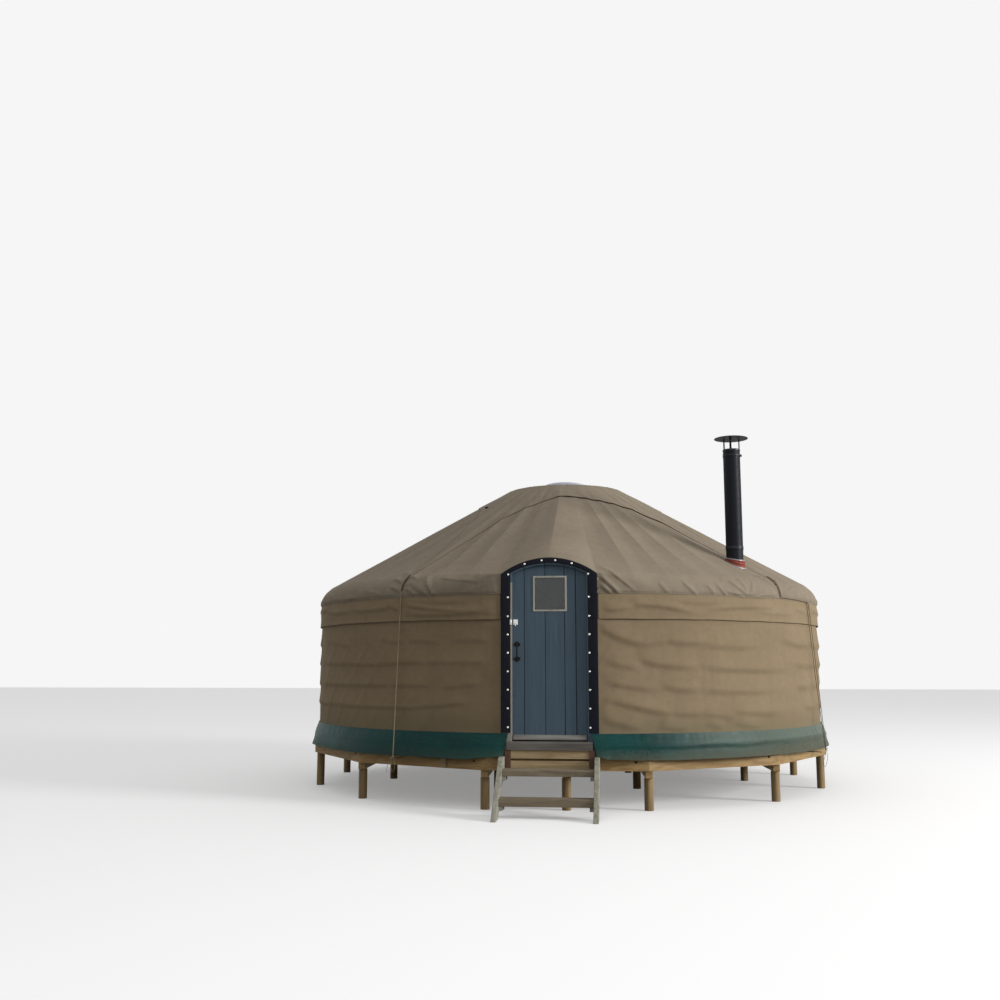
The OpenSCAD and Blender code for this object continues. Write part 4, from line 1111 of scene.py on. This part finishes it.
def makeValance():
    side = wallSet["doorSide"] + 0.2
    width = math.radians(360 - 2 * side) * valanceSet["radius"]
    height = roofSet["eave"] - valanceSet["hem"]

    def place(u, v):
        azimuth = mixed(side, 360 - side, u)
        edge = easeIn((180 - abs(azimuth - 180) - side) / 2.0)
        hemZ = valanceSet["hem"] + 0.004 * wander(azimuth / 7.0, 0.9, 67, 2) * edge
        z = mixed(hemZ, roofSet["eave"] - 0.001, v)
        return around(valanceSet["radius"] + edge * valanceFold(azimuth, v), azimuth, z)

    bm = clothGrid(900, 16, (width, height), place)
    piece = newPiece("valance_canvas", bm, "wall", replaced=("valance",))
    thicken(piece, valanceSet["depth"])
    # the welt along the eave seam
    line = []
    for i in range(721):
        azimuth = mixed(side, 360 - side, i / 720)
        line.append(around(valanceSet["radius"] + 0.001, azimuth,
                           roofSet["eave"] + 0.0015 * wander(azimuth / 2.0, 0, 69)))
    bm = bmesh.new()
    tubeAlong(bm, line, 0.0045, 6)
    newPiece("eave_welt", bm, "roof", fix=True)


makeValance()
print("valance hung")

# Green skirt

skirtSize = {"top": 0.775, "bottom": 0.512, "topRadius": 3.2105, "lowRadius": 3.283, "deckTurn": 3.0,
             "flapTop": 0.43, "flapLow": 0.485, "cloth": 0.003}


def skirtPoint(azimuth, v):  # v from 0 at the hem to 1 at the top
    a = signed(azimuth)
    right = a > 0
    slack = 1.0 if right else 0.45
    offset = (a - skirtSize["deckTurn"] + 15) % 30 - 15
    between = math.cos(math.radians(offset * 12)) * 0.5 + 0.5
    low = 1 - v
    radius = mixed(skirtSize["lowRadius"], skirtSize["topRadius"], v) - 0.022 * between * low
    ledge = 0.48 + 0.12 * wander(a / 12, 0.2, 71)
    fold = slack * 0.013 * easeIn((v - ledge + 0.07) / 0.09) * easeIn((1 - v) / (1 - ledge))
    gather = (0.3 + 0.7 * slack) * 0.0075 * wander(a / 1.1, 0.1 + v * 0.6, 75, 2) * easeIn((v - 0.5) / 0.3)
    ripple = 0.006 * wander(a / 4.5, v, 77, 2) * low
    hem = 0.002 * easeIn((0.15 - v) / 0.05)
    settle = easeIn((1 - v) / 0.12)
    radius += settle * (fold + gather + ripple) + hem
    radius += 0.005 * (1 - between) * easeIn((1 - v) / 0.3)
    # the hem rises to the flap beside the steps
    lifted = (0.014 if right else 0.026) * easeIn((17 - abs(a)) / 6)
    z = mixed(skirtSize["bottom"] + 0.006 * wander(a / 10, 0.6, 79, 2) + lifted, skirtSize["top"], v)
    return radius, z


def makeSkirt():
    join = 11.0
    for name, sign in (("skirt_left", -1), ("skirt_right", 1)):
        width = math.radians(180 - 9.3) * skirtSize["lowRadius"] + 0.1
        height = skirtSize["top"] - skirtSize["bottom"] + 0.01

        def place(u, v):
            if sign > 0:
                u = 1 - u
            flap = 0.02
            if u > flap:
                azimuth = sign * mixed(join, 179.98, (u - flap) / (1 - flap))
                radius, z = skirtPoint(azimuth, v)
                return around(radius, azimuth, z)
            # the free end lies flat across the foot of the door frame
            t = 1 - u / flap
            radius, z = skirtPoint(sign * join, v)
            start = around(radius, sign * join, z)
            x = sign * mixed(skirtSize["flapLow"], skirtSize["flapTop"], v)
            liftZ = max(z, mixed(z, 0.551, easeIn(t / 0.6)))
            end = Vector((x, mixed(-3.236, -3.1895, v), liftZ))
            p = start.lerp(end, t)
            p.y -= 0.012 * math.sin(math.pi * t) * (1 - v)
            return p

        bm = clothGrid(430, 14, (width, height), place)
        if sign > 0:
            for face in bm.faces:
                face.normal_flip()
        piece = newPiece(name + "_cloth", bm, "skirt", replaced=(name,))
        bm = bmesh.new()
        bm.from_mesh(piece.data)
        outward = sum(f.normal.dot(Vector((f.calc_center_median().x, f.calc_center_median().y, 0)))
                      for f in bm.faces)
        if outward < 0:
            bmesh.ops.reverse_faces(bm, faces=bm.faces)
            bm.to_mesh(piece.data)
        bm.free()
        thicken(piece, skirtSize["cloth"])


makeSkirt()
print("skirt hung")

# Star-shaped cap over the crown


def tipGap(azimuth):
    return min(abs(signed(azimuth - tip)) for tip in capSet["tips"])


def capReach(azimuth):
    gap = max(0.0, tipGap(azimuth) - 0.35)
    wave = 1 + 0.004 * wander(azimuth / 5.0, 0.2, 81, 2)
    return min(capSet["tip"], (1.0 + 8.0 / (gap + 3.68)) * wave)


def capHeight(r, azimuth, t):  # t from 0 at the crown's opening to 1 at the hem
    a = signed(azimuth)
    pull = 0.003 * wander(azimuth / 3.4, r * 0.8, 83, 2) * math.sin(math.pi * min(1, t * 1.05))
    fan = capSet["fan"] * abs(wander(azimuth / 6.5, 0.0, 85, 1)) ** 1.3 * hill(r, 1.12, 0.3)
    gape = mixed(0.3, 1.0, easeIn((a + 10) / 20) * easeIn((60 - a) / 10))
    hem = capSet["gape"] * gape * easeIn((t - 0.86) / 0.14) * easeIn((tipGap(azimuth) - 1) / 8)
    return roofHeight(r, azimuth) + capSet["lift"] + max(0, pull) + fan + hem


def makeCap():
    size = (2 * math.pi * 1.4, 1.2)
    steps = []
    for i, tip in enumerate(capSet["tips"]):
        after = capSet["tips"][(i + 1) % 4] + (360 if i == 3 else 0)
        count = 150
        for k in range(count):
            t = k / count
            even = t + 0.118 * math.sin(4 * math.pi * t) * -1 * 0.5
            edge = 0.5 - 0.5 * math.cos(math.pi * t)
            steps.append(mixed(tip, after, mixed(even, edge, 0.8)))
    steps.append(steps[0] + 360)
    columns = len(steps) - 1

    def place(u, v):
        azimuth = steps[round(u * columns)]
        reach = capReach(azimuth)
        r = mixed(capSet["inner"], reach, v)
        return around(r, azimuth, capHeight(r, azimuth, v))

    bm = clothGrid(columns, 40, size, place)
    bmesh.ops.reverse_faces(bm, faces=bm.faces)
    bmesh.ops.remove_doubles(bm, verts=bm.verts, dist=1e-5)
    piece = newPiece("star_cap", bm, "roof", replaced=("crown_cap",))
    thicken(piece, capSet["cloth"])
    bm = bmesh.new()  # the cord sewn into the hem, coloured darker than the canvas as painted shade for the shadow line beneath it
    line = [place(k / columns, 1.0) - Vector((0, 0, 0.002)) for k in range(columns)]
    tubeAlong(bm, line, 0.0032, 6, closed=True)
    cord = newPiece("cap_hem", bm, "hem", fix=True)
    slant, flatArea = sectorCut(0, 360, capSet["inner"], capReach, 720)
    # taken as one gore for each point, laid side by side, each as wide as its unrolled cone between two points
    gores = len(capSet["tips"])
    closing = math.cos(math.radians(roofSet["pitch"]))
    trough = capReach(sum(capSet["tips"][-2:]) / 2) / closing
    width = 2 * gores * trough * math.sin(math.pi / gores * closing)


makeCap()
print("star cap laid")

# Dome over the crown's opening

domeSet = {"radius": 0.380, "flange": 0.440, "rim": 3.762, "apex": 3.908, "wall": 0.005}


def domeHeight(r, radius, low, high):  # steep at the rim and flat on top
    return low + (high - low) * max(0.0, 1 - (r / radius) ** 3.5) ** 0.6


def makeDome():
    s = domeSet
    steps = 20
    outer = [s["radius"] * math.sin(math.pi / 2 * (1 - i / steps)) for i in range(steps + 1)]
    inner = s["radius"] - s["wall"]
    profile = [(inner, s["rim"] - 0.006), (s["flange"], s["rim"] - 0.006), (s["flange"], s["rim"])]
    profile += [(r, domeHeight(r, s["radius"], s["rim"], s["apex"])) for r in outer]
    profile += [(r, domeHeight(r, inner, s["rim"] - 0.006, s["apex"] - s["wall"]))
                for r in (inner * r / s["radius"] for r in reversed(outer))]
    bm = bmesh.new()
    spinShape(bm, profile, (0, 0), 96)
    newPiece("opal_dome", bm, "dome", replaced=("crown_dome",), fix=True)


makeDome()
print("dome set")

# Straps and ropes


# points over the shoulder, from angle first to last above the eave
def shoulderRun(azimuth, first, last, steps):
    line = []
    for i in range(steps + 1):
        b = math.radians(mixed(first, last, i / steps))
        r = roofSet["radius"] - roofSet["shoulder"] + (roofSet["shoulder"] + ropeSet["over"]) * math.cos(b)
        line.append(around(r, azimuth,
                           roofSet["eave"] + (roofSet["shoulder"] + ropeSet["over"]) * math.sin(b)))
    return line


def bandAlong(bm, points, azimuth, width, depth):  # a flat strap over the shoulder, across the given azimuth
    across = around(width / 2, azimuth + 90, 0)
    rings = []
    for i, point in enumerate(points):
        along = points[min(i + 1, len(points) - 1)] - points[max(i - 1, 0)]
        up = along.cross(across).normalized() * depth
        up = up if up.dot(point) > 0 else -up
        corners = (point - across, point + across, point + across + up, point - across + up)
        rings.append([bm.verts.new(p) for p in corners])
    for a, b in zip(rings, rings[1:]):
        for k in range(4):
            bm.faces.new((a[k], a[(k + 1) % 4], b[(k + 1) % 4], b[k]))
    bm.faces.new(rings[0])
    bm.faces.new(rings[-1])


def ropeFall(azimuths, radius, z0, z1):  # a taut rope down the wall, bowed out a little by the cloth
    top, middle, low = azimuths
    line = []
    for i in range(25):
        t = i / 24
        azimuth = mixed(top, middle, t * 2) if t < 0.5 else mixed(middle, low, t * 2 - 1)
        out = roofSet["radius"] + ropeSet["over"] + 0.001
        line.append(around(mixed(out, radius, t), azimuth, mixed(z0, z1, t)))
    return line


def makeRopes():
    bottom = ropeSet["hookZ"] + 0.01
    top = roofSet["eave"] - 0.01
    straps = bmesh.new()
    for i, (tip, fall) in enumerate(zip(capSet["tips"], ropeSet["falls"])):
        bm = bmesh.new()
        if i == 1:
            for aside in (-0.26, 0.26):
                tubeAlong(bm, shoulderRun(tip + aside, 66, 4, 18), ropeSet["thin"], 6)
            for azimuths in ropeSet["strands"]:
                along = [around(roofSet["radius"] + 0.007, mixed(tip, azimuths[0] - 1, k / 12),
                                mixed(2.222, 2.204, k / 12))
                         for k in range(13)]
                fallLine = ropeFall(azimuths, ropeSet["lowRadius"], top - 0.02, bottom)
                corner = curveThrough([along[-2], along[-1], fallLine[0], fallLine[1]], 5)
                tubeAlong(bm, along[:-2] + corner + fallLine[2:], ropeSet["thin"], 6)
        else:
            bandAlong(straps, shoulderRun(tip, 62, 12, 14), tip, *ropeSet["strap"])
            line = shoulderRun(tip, 14, 2, 4)
            tubeAlong(bm, line + ropeFall((fall,) * 3, ropeSet["lowRadius"], top, bottom),
                      ropeSet["thick"], 8)
        knot = around(ropeSet["lowRadius"] + 0.004, fall + (4.3 if i == 1 else 0), bottom + 0.004)
        turns = [knot + Vector((0.011 * math.cos(a), 0.011 * math.sin(a), 0.0045 * a - 0.016))
                 for a in (k * math.pi / 6 for k in range(14))]
        tubeAlong(bm, turns, ropeSet["thin"] if i == 1 else ropeSet["thick"], 6)
        newPiece(f"tie_rope_{i + 1}", bm, "darkRope" if i == 1 else "paleRope", fix=True,
                 replaced=("cap_ropes",) if i == 0 else ())
    newPiece("shoulder_straps", straps, "strap", fix=True, smooth=False)


makeRopes()
print("ropes tied")

cordSet = {  # the loose ends at the two front hooks: radius, azimuth and z along each
    "bow_tail": {"thick": 0.005, "paint": "paleRope", "end": "bare",
                 "line": ((3.326, -31.3, 0.502), (3.333, -31.6, 0.47), (3.332, -31.9, 0.445),
                          (3.328, -32.2, 0.39),
                          (3.326, -32.4, 0.335))},
    "bow_loop": {"thick": 0.005, "paint": "paleRope", "end": "knot",
                 "line": ((3.330, -31.0, 0.494), (3.334, -31.18, 0.43), (3.334, -31.08, 0.374),
                          (3.334, -30.7, 0.348),
                          (3.334, -30.32, 0.374), (3.334, -30.22, 0.43), (3.336, -30.5, 0.480))},
    "hook_loop": {"thick": 0.0045, "paint": "darkRope", "end": "knot",
                  "line": ((3.328, 68.5, 0.488), (3.332, 67.2, 0.462), (3.335, 65.6, 0.410),
                           (3.336, 64.6, 0.355), (3.337, 65.0, 0.322), (3.338, 66.2, 0.326),
                           (3.339, 67.4, 0.372), (3.338, 68.2, 0.425), (3.336, 68.6, 0.462))},
}


def makeLooseEnds():
    for name, s in cordSet.items():
        line = curveThrough([around(*point) for point in s["line"]], 8)
        bm = bmesh.new()
        tubeAlong(bm, line, s["thick"] / 2, 8)
        piece = newPiece(name, bm, s["paint"], fix=True)
        length = sum((b - a).length for a, b in zip(line, line[1:]))
        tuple(line[0])


makeLooseEnds()
print("loose ends hung")

# Small fittings


fittingSet = {
    "keeper": ((-0.409, -3.188, 1.886), (-0.3885, -3.150, 1.940)),
    "spade": ((0.0, 0.059), (0.010, 0.051), (0.025, 0.040), (0.034, 0.027), (0.033, 0.014), (0.022, 0.007),
              (0.008, 0.0)),
    "spadeFoot": (1.658, 1.558),  # the lower edge of the upper spade, and the upper edge of the lower one
    "handleX": -0.339, "leafFront": -3.130, "plate": 0.0035,
    "boltAlong": 0.711, "boltZ": (0.549, 0.489), "rimFace": 3.141,
    "splice": {"side": -27.0, "along": 0.327, "size": (0.075, 0.025, 0.111), "z": 0.4675},
    "toggle": (-0.95, -0.875, 3.468), "toggleSize": (0.060, 0.024, 0.026),
}


def makeFittings():
    s = fittingSet
    bm = bmesh.new()
    addBox(bm, *s["keeper"])
    softEdges(newPiece("latch_keeper", bm, "zinc"), 0.0015)
    bm = bmesh.new()
    for foot, way in zip(s["spadeFoot"], (1, -1)):
        half = [(x, z) for x, z in s["spade"]]
        outline = half + [(-x, z) for x, z in reversed(half[1:])]
        verts = [bm.verts.new((s["handleX"] + x, s["leafFront"], foot + way * z)) for x, z in outline]
        made = bmesh.ops.extrude_face_region(bm, geom=[bm.faces.new(verts)])["geom"]
        bmesh.ops.translate(bm, vec=(0, -s["plate"], 0), verts=[v for v in made
                                                                if isinstance(v, bmesh.types.BMVert)])
    newPiece("handle_spades", bm, "iron", body="door", fix=True, smooth=False)
    bm = bmesh.new()
    for k in range(12):
        azimuth = deckSet["turn"] + 30 * k
        outward, along = around(1.0, azimuth, 0), around(1.0, azimuth + 90, 0)
        for z in s["boltZ"]:
            for radius, depth, sides in ((0.013, 0.002, 20), (0.0085, 0.008, 6)):
                place = outward * (s["rimFace"] + depth / 2) + along * s["boltAlong"] + Vector((0, 0, z))
                matrix = Matrix.Translation(place) @ outward.to_track_quat("Z", "Y").to_matrix().to_4x4()
                bmesh.ops.create_cone(bm, cap_ends=True, segments=sides, radius1=radius,
                                      radius2=radius, depth=depth,
                                      matrix=matrix)
    newPiece("rim_bolts", bm, "iron", smooth=False)
    splice = s["splice"]
    place = around(s["rimFace"] + splice["size"][1] / 2, splice["side"], splice["z"])
    place += around(splice["along"], splice["side"] + 90, 0)
    turn = Matrix.Rotation(math.radians(splice["side"]), 4, "Z")
    bm = bmesh.new()
    bmesh.ops.create_cube(bm, size=1.0,
                          matrix=Matrix.Translation(place) @ turn @ Matrix.Diagonal((*splice["size"], 1)))
    softEdges(newPiece("splice_block", bm, "riser"), 0.003)
    bm = bmesh.new()
    matrix = Matrix.Translation(s["toggle"]) @ Matrix.Diagonal((*s["toggleSize"], 1))
    bmesh.ops.create_uvsphere(bm, u_segments=16, v_segments=10, radius=0.5, matrix=matrix)
    newPiece("cap_toggle", bm, "iron")

# Door trim with studs

trimSet = {
    "front": -3.175,
    "cloth": 0.005,
    "outerHalf": 0.505,
    "innerHalf": 0.405,
    "outerArc": (0.829, 1.757),
    "innerArc": (0.863, 1.667),
    "foot": 0.78,
    "split": 1.946,
    "studs": (0.836, 1.028, 1.217, 1.405, 1.595, 1.785, 1.974, 2.172, 2.412),
    "archStuds": (-0.254, -0.073, 0.069, 0.241),
    "studRadius": 0.0112,
    "studLeft": -0.432,
    "studRight": 0.417,
}


def trimEdge(half, arc, s):  # a point on one edge of the trim, s from 0 at the left foot over the arch to 1
    radius, centre = arc
    spring = centre + math.sqrt(radius**2 - half**2)
    straight = spring - trimSet["foot"]
    sweep = 2 * math.asin(half / radius)
    total = 2 * straight + radius * sweep
    d = s * total
    if d < straight:
        return Vector((-half, trimSet["foot"] + d))
    if d > total - straight:
        return Vector((half, trimSet["foot"] + total - d))
    angle = (d - straight) / radius - sweep / 2
    return Vector((radius * math.sin(angle), centre + radius * math.cos(angle)))


def trimCut():  # the strip's outer length and the flat area between its two edges
    steps = [k / 80 for k in range(81)]
    outer = [trimEdge(trimSet["outerHalf"], trimSet["outerArc"], s) for s in steps]
    inner = [trimEdge(trimSet["innerHalf"], trimSet["innerArc"], s) for s in steps]
    ring = outer + inner[::-1]
    area = abs(sum(a.x * b.y - b.x * a.y for a, b in zip(ring, ring[1:] + ring[:1]))) / 2
    return sum((b - a).length for a, b in zip(outer, outer[1:])), area


def studPlaces():
    places = []
    for z in trimSet["studs"]:
        places.append((trimSet["studLeft"] + 0.006 * easeIn((z - 2.1) / 0.3), z))
        places.append((trimSet["studRight"] - 0.005 * easeIn((z - 2.1) / 0.3), z))
    for x in trimSet["archStuds"]:
        outer = trimSet["outerArc"][1] + math.sqrt(trimSet["outerArc"][0] ** 2 - x * x)
        inner = trimSet["innerArc"][1] + math.sqrt(trimSet["innerArc"][0] ** 2 - x * x)
        places.append((x, (outer + inner) / 2 + 0.002))
    return places


def makeTrim():
    studs = [Vector(p) for p in studPlaces()]

    def place(u, v):
        edge = trimEdge(trimSet["outerHalf"], trimSet["outerArc"], u)
        inner = trimEdge(trimSet["innerHalf"], trimSet["innerArc"], u)
        p = edge.lerp(inner, v)
        near = min((p - stud).length for stud in studs)
        puff = 0.0035 * easeIn(near / 0.07) * math.sin(math.pi * min(1, max(0, v))) ** 0.7
        rumple = 0.0012 * wander(p.x * 12, p.y * 12, 91, 2)
        lap = 0.003 if p.y > trimSet["split"] else 0.0
        return Vector((p.x, trimSet["front"] - trimSet["cloth"] - puff - rumple - lap - 0.001, p.y))

    bm = clothGrid(330, 12, (4.2, 0.1), place)
    bmesh.ops.recalc_face_normals(bm, faces=bm.faces)
    if sum(f.normal.y for f in bm.faces) > 0:
        bmesh.ops.reverse_faces(bm, faces=bm.faces)
    piece = newPiece("door_trim_cloth", bm, "trim", replaced=("trim_lower", "trim_arch"))
    thicken(piece, trimSet["cloth"])
    length, flatArea = trimCut()
    bm = bmesh.new()
    for x, z in studPlaces():
        squash = Matrix.Diagonal((1, 0.45, 1, 1))
        matrix = Matrix.Translation((x, trimSet["front"] - trimSet["cloth"] - 0.0035, z)) @ squash
        bmesh.ops.create_uvsphere(bm, u_segments=14, v_segments=8, radius=trimSet["studRadius"],
                                  matrix=matrix)
    newPiece("trim_studs", bm, "nickel")


makeTrim()
print("door trim studded")

# Deck boards

deckSet = {"top": 0.610, "board": 0.025, "width": 0.145, "gap": 0.004, "middle": 3.141, "turn": 3.0}


def makeDeckBoards():
    bm = bmesh.new()
    pitch = deckSet["width"] + deckSet["gap"]
    count = int(3.3 / pitch) + 1
    for k in range(-count, count):
        low = (k * pitch + deckSet["gap"] / 2, -3.4, deckSet["top"] - deckSet["board"])
        addBox(bm, low, (low[0] + deckSet["width"], 3.4, deckSet["top"]))
    bmesh.ops.bevel(bm, geom=[e for e in bm.edges if abs(e.verts[0].co.y - e.verts[1].co.y) > 1],
                    offset=0.003, segments=2, profile=0.5, affect="EDGES", material=-1)
    bmesh.ops.rotate(bm, cent=(0, 0, 0), matrix=Matrix.Rotation(math.radians(deckSet["turn"]), 3, "Z"),
                     verts=bm.verts)
    for k in range(12):
        outward = around(1.0, deckSet["turn"] + 30 * k, 0)
        found = bmesh.ops.bisect_plane(bm, geom=list(bm.verts) + list(bm.edges) + list(bm.faces), dist=1e-6,
                                       plane_co=outward * deckSet["middle"], plane_no=outward,
                                       clear_outer=True)
        edges = [e for e in found["geom_cut"] if isinstance(e, bmesh.types.BMEdge)]
        bmesh.ops.holes_fill(bm, edges=edges, sides=0)
    newPiece("deck_boards", bm, "pineY", replaced=("deck_floor",), smooth=False)


makeDeckBoards()
print("deck boards laid")

makeFittings()
print("fittings added")

# Carried-over timber and metal: finishes and softened edges

finishes = {
    "centre_post": ("post", 0), "deck_posts": ("post", 0), "deck_bearers": ("pineY", 0.004),
    "deck_joists": ("pineX", 0.003), "deck_rim": ("rim", 0.003), "step_stringers": ("stringer", 0.005),
    "step_treads": ("tread", 0.004), "step_blocks": ("block", 0.004), "step_risers": ("riser", 0.003),
    "door_sill": ("sill", 0.003), "door_jambs": ("jamb", 0.002), "door_head": ("door", 0.002),
    "hinge_frame": ("iron", 0), "roof_poles": ("ashPole", 0), "door_poles": ("ashPole", 0),
    "crown_ring": ("ashRing", 0.003), "crown_slats": ("ashSlat", 0.002),
    "rope_hooks": ("hook", 0), "tension_band": ("band", 0), "flue_pipe": ("flue", 0),
    "flue_cowl": ("flue", 0), "flue_bracket": ("zinc", 0),
    "door_leaf": ("door", 0.0015), "door_ledges": ("door", 0.002), "window_glass": ("glass", 0),
    "window_bead": ("bead", 0.0015), "pull_handle": ("iron", 0.001), "latch_plate": ("zinc", 0.001),
    "weather_bar": ("bar", 0.003), "hinge_leaves": ("iron", 0),
}
finishes.update({f"lattice_{k}": ("ashUp", 0) for k in range(1, 7)})


def finishNodes():
    for name, (paint, width) in finishes.items():
        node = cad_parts[name]
        node.data.materials.clear()
        node.data.materials.append(paints[paint])
        if width:
            softEdges(node, width)


finishNodes()
print("frame finished")

# Light, floor and background

lightSet = {
    "low": 0.06,
    "high": 0.65,
    "key": {"place": (23.0, -9.0, 8.0), "size": 7.0, "power": 4900.0},
    "fill": {"place": (1.0, -14.0, 6.0), "size": 8.0, "power": 110.0},
    "floor": 0.80,
    "bounce": 0.16,
    "lift": 0.26,  # added to the floor as the camera sees it, so that it stays pale
}


def makeLights():
    for name in ("key", "fill"):
        s = lightSet[name]
        data = bpy.data.lights.new(name, "AREA")
        data.energy = s["power"]
        data.size = s["size"]
        lamp = bpy.data.objects.new(name, data)
        lamp.location = s["place"]
        aim = Vector((0, 0, 1.6)) - Vector(s["place"])
        lamp.rotation_euler = aim.to_track_quat("-Z", "Y").to_euler()
        bpy.context.scene.collection.objects.link(lamp)


def seenDirectly(paint):  # 1 for the camera, and for what metal and glass mirror or show through
    rays = [paint.add("ShaderNodeLightPath", {}, {}, ray)
            for ray in ("Is Camera Ray", "Is Glossy Ray", "Is Transmission Ray")]
    return paint.maths("MINIMUM", rays[0] + rays[1] + rays[2], 1.0)


class Sky(Paint):  # the same tools for the world's nodes
    def __init__(self, world):
        self.material = world
        world.use_nodes = True
        self.tree = world.node_tree
        self.shader = self.tree.nodes["Background"]


def makeWorld():  # soft light that comes mostly from above
    world = bpy.data.worlds.new("studio")
    bpy.context.scene.world = world
    sky = Sky(world)
    x, y, z = sky.split(sky.add("ShaderNodeTexCoord", {}, {}, "Generated"))
    light = sky.span(z, -0.1, 0.9, lightSet["low"], lightSet["high"])
    direct = seenDirectly(sky)
    sky.set(Color=(1, 1, 1, 1), Strength=light + direct * (0.92 - light))


def makeFloor():
    bm = bmesh.new()
    bmesh.ops.create_grid(bm, x_segments=4, y_segments=4, size=60)
    mesh = bpy.data.meshes.new("floor")
    bm.to_mesh(mesh)
    bm.free()
    floor = bpy.data.objects.new("floor", mesh)
    bpy.context.scene.collection.objects.link(floor)
    paint = Paint("floorPaint", 0.9)
    pale, dim = ((lightSet[key],) * 3 + (1,) for key in ("floor", "bounce"))
    direct = seenDirectly(paint)
    paint.shader.inputs["Emission Strength"].default_value = lightSet["lift"]
    mesh.materials.append(paint.set(Base_Color=paint.blend(direct, dim, pale),
                                    Emission_Color=paint.blend(direct, (0, 0, 0, 1), (1, 1, 1, 1))))


makeLights()
makeWorld()
makeFloor()
bpy.context.scene.view_settings.view_transform = "Standard"
print("studio lit")
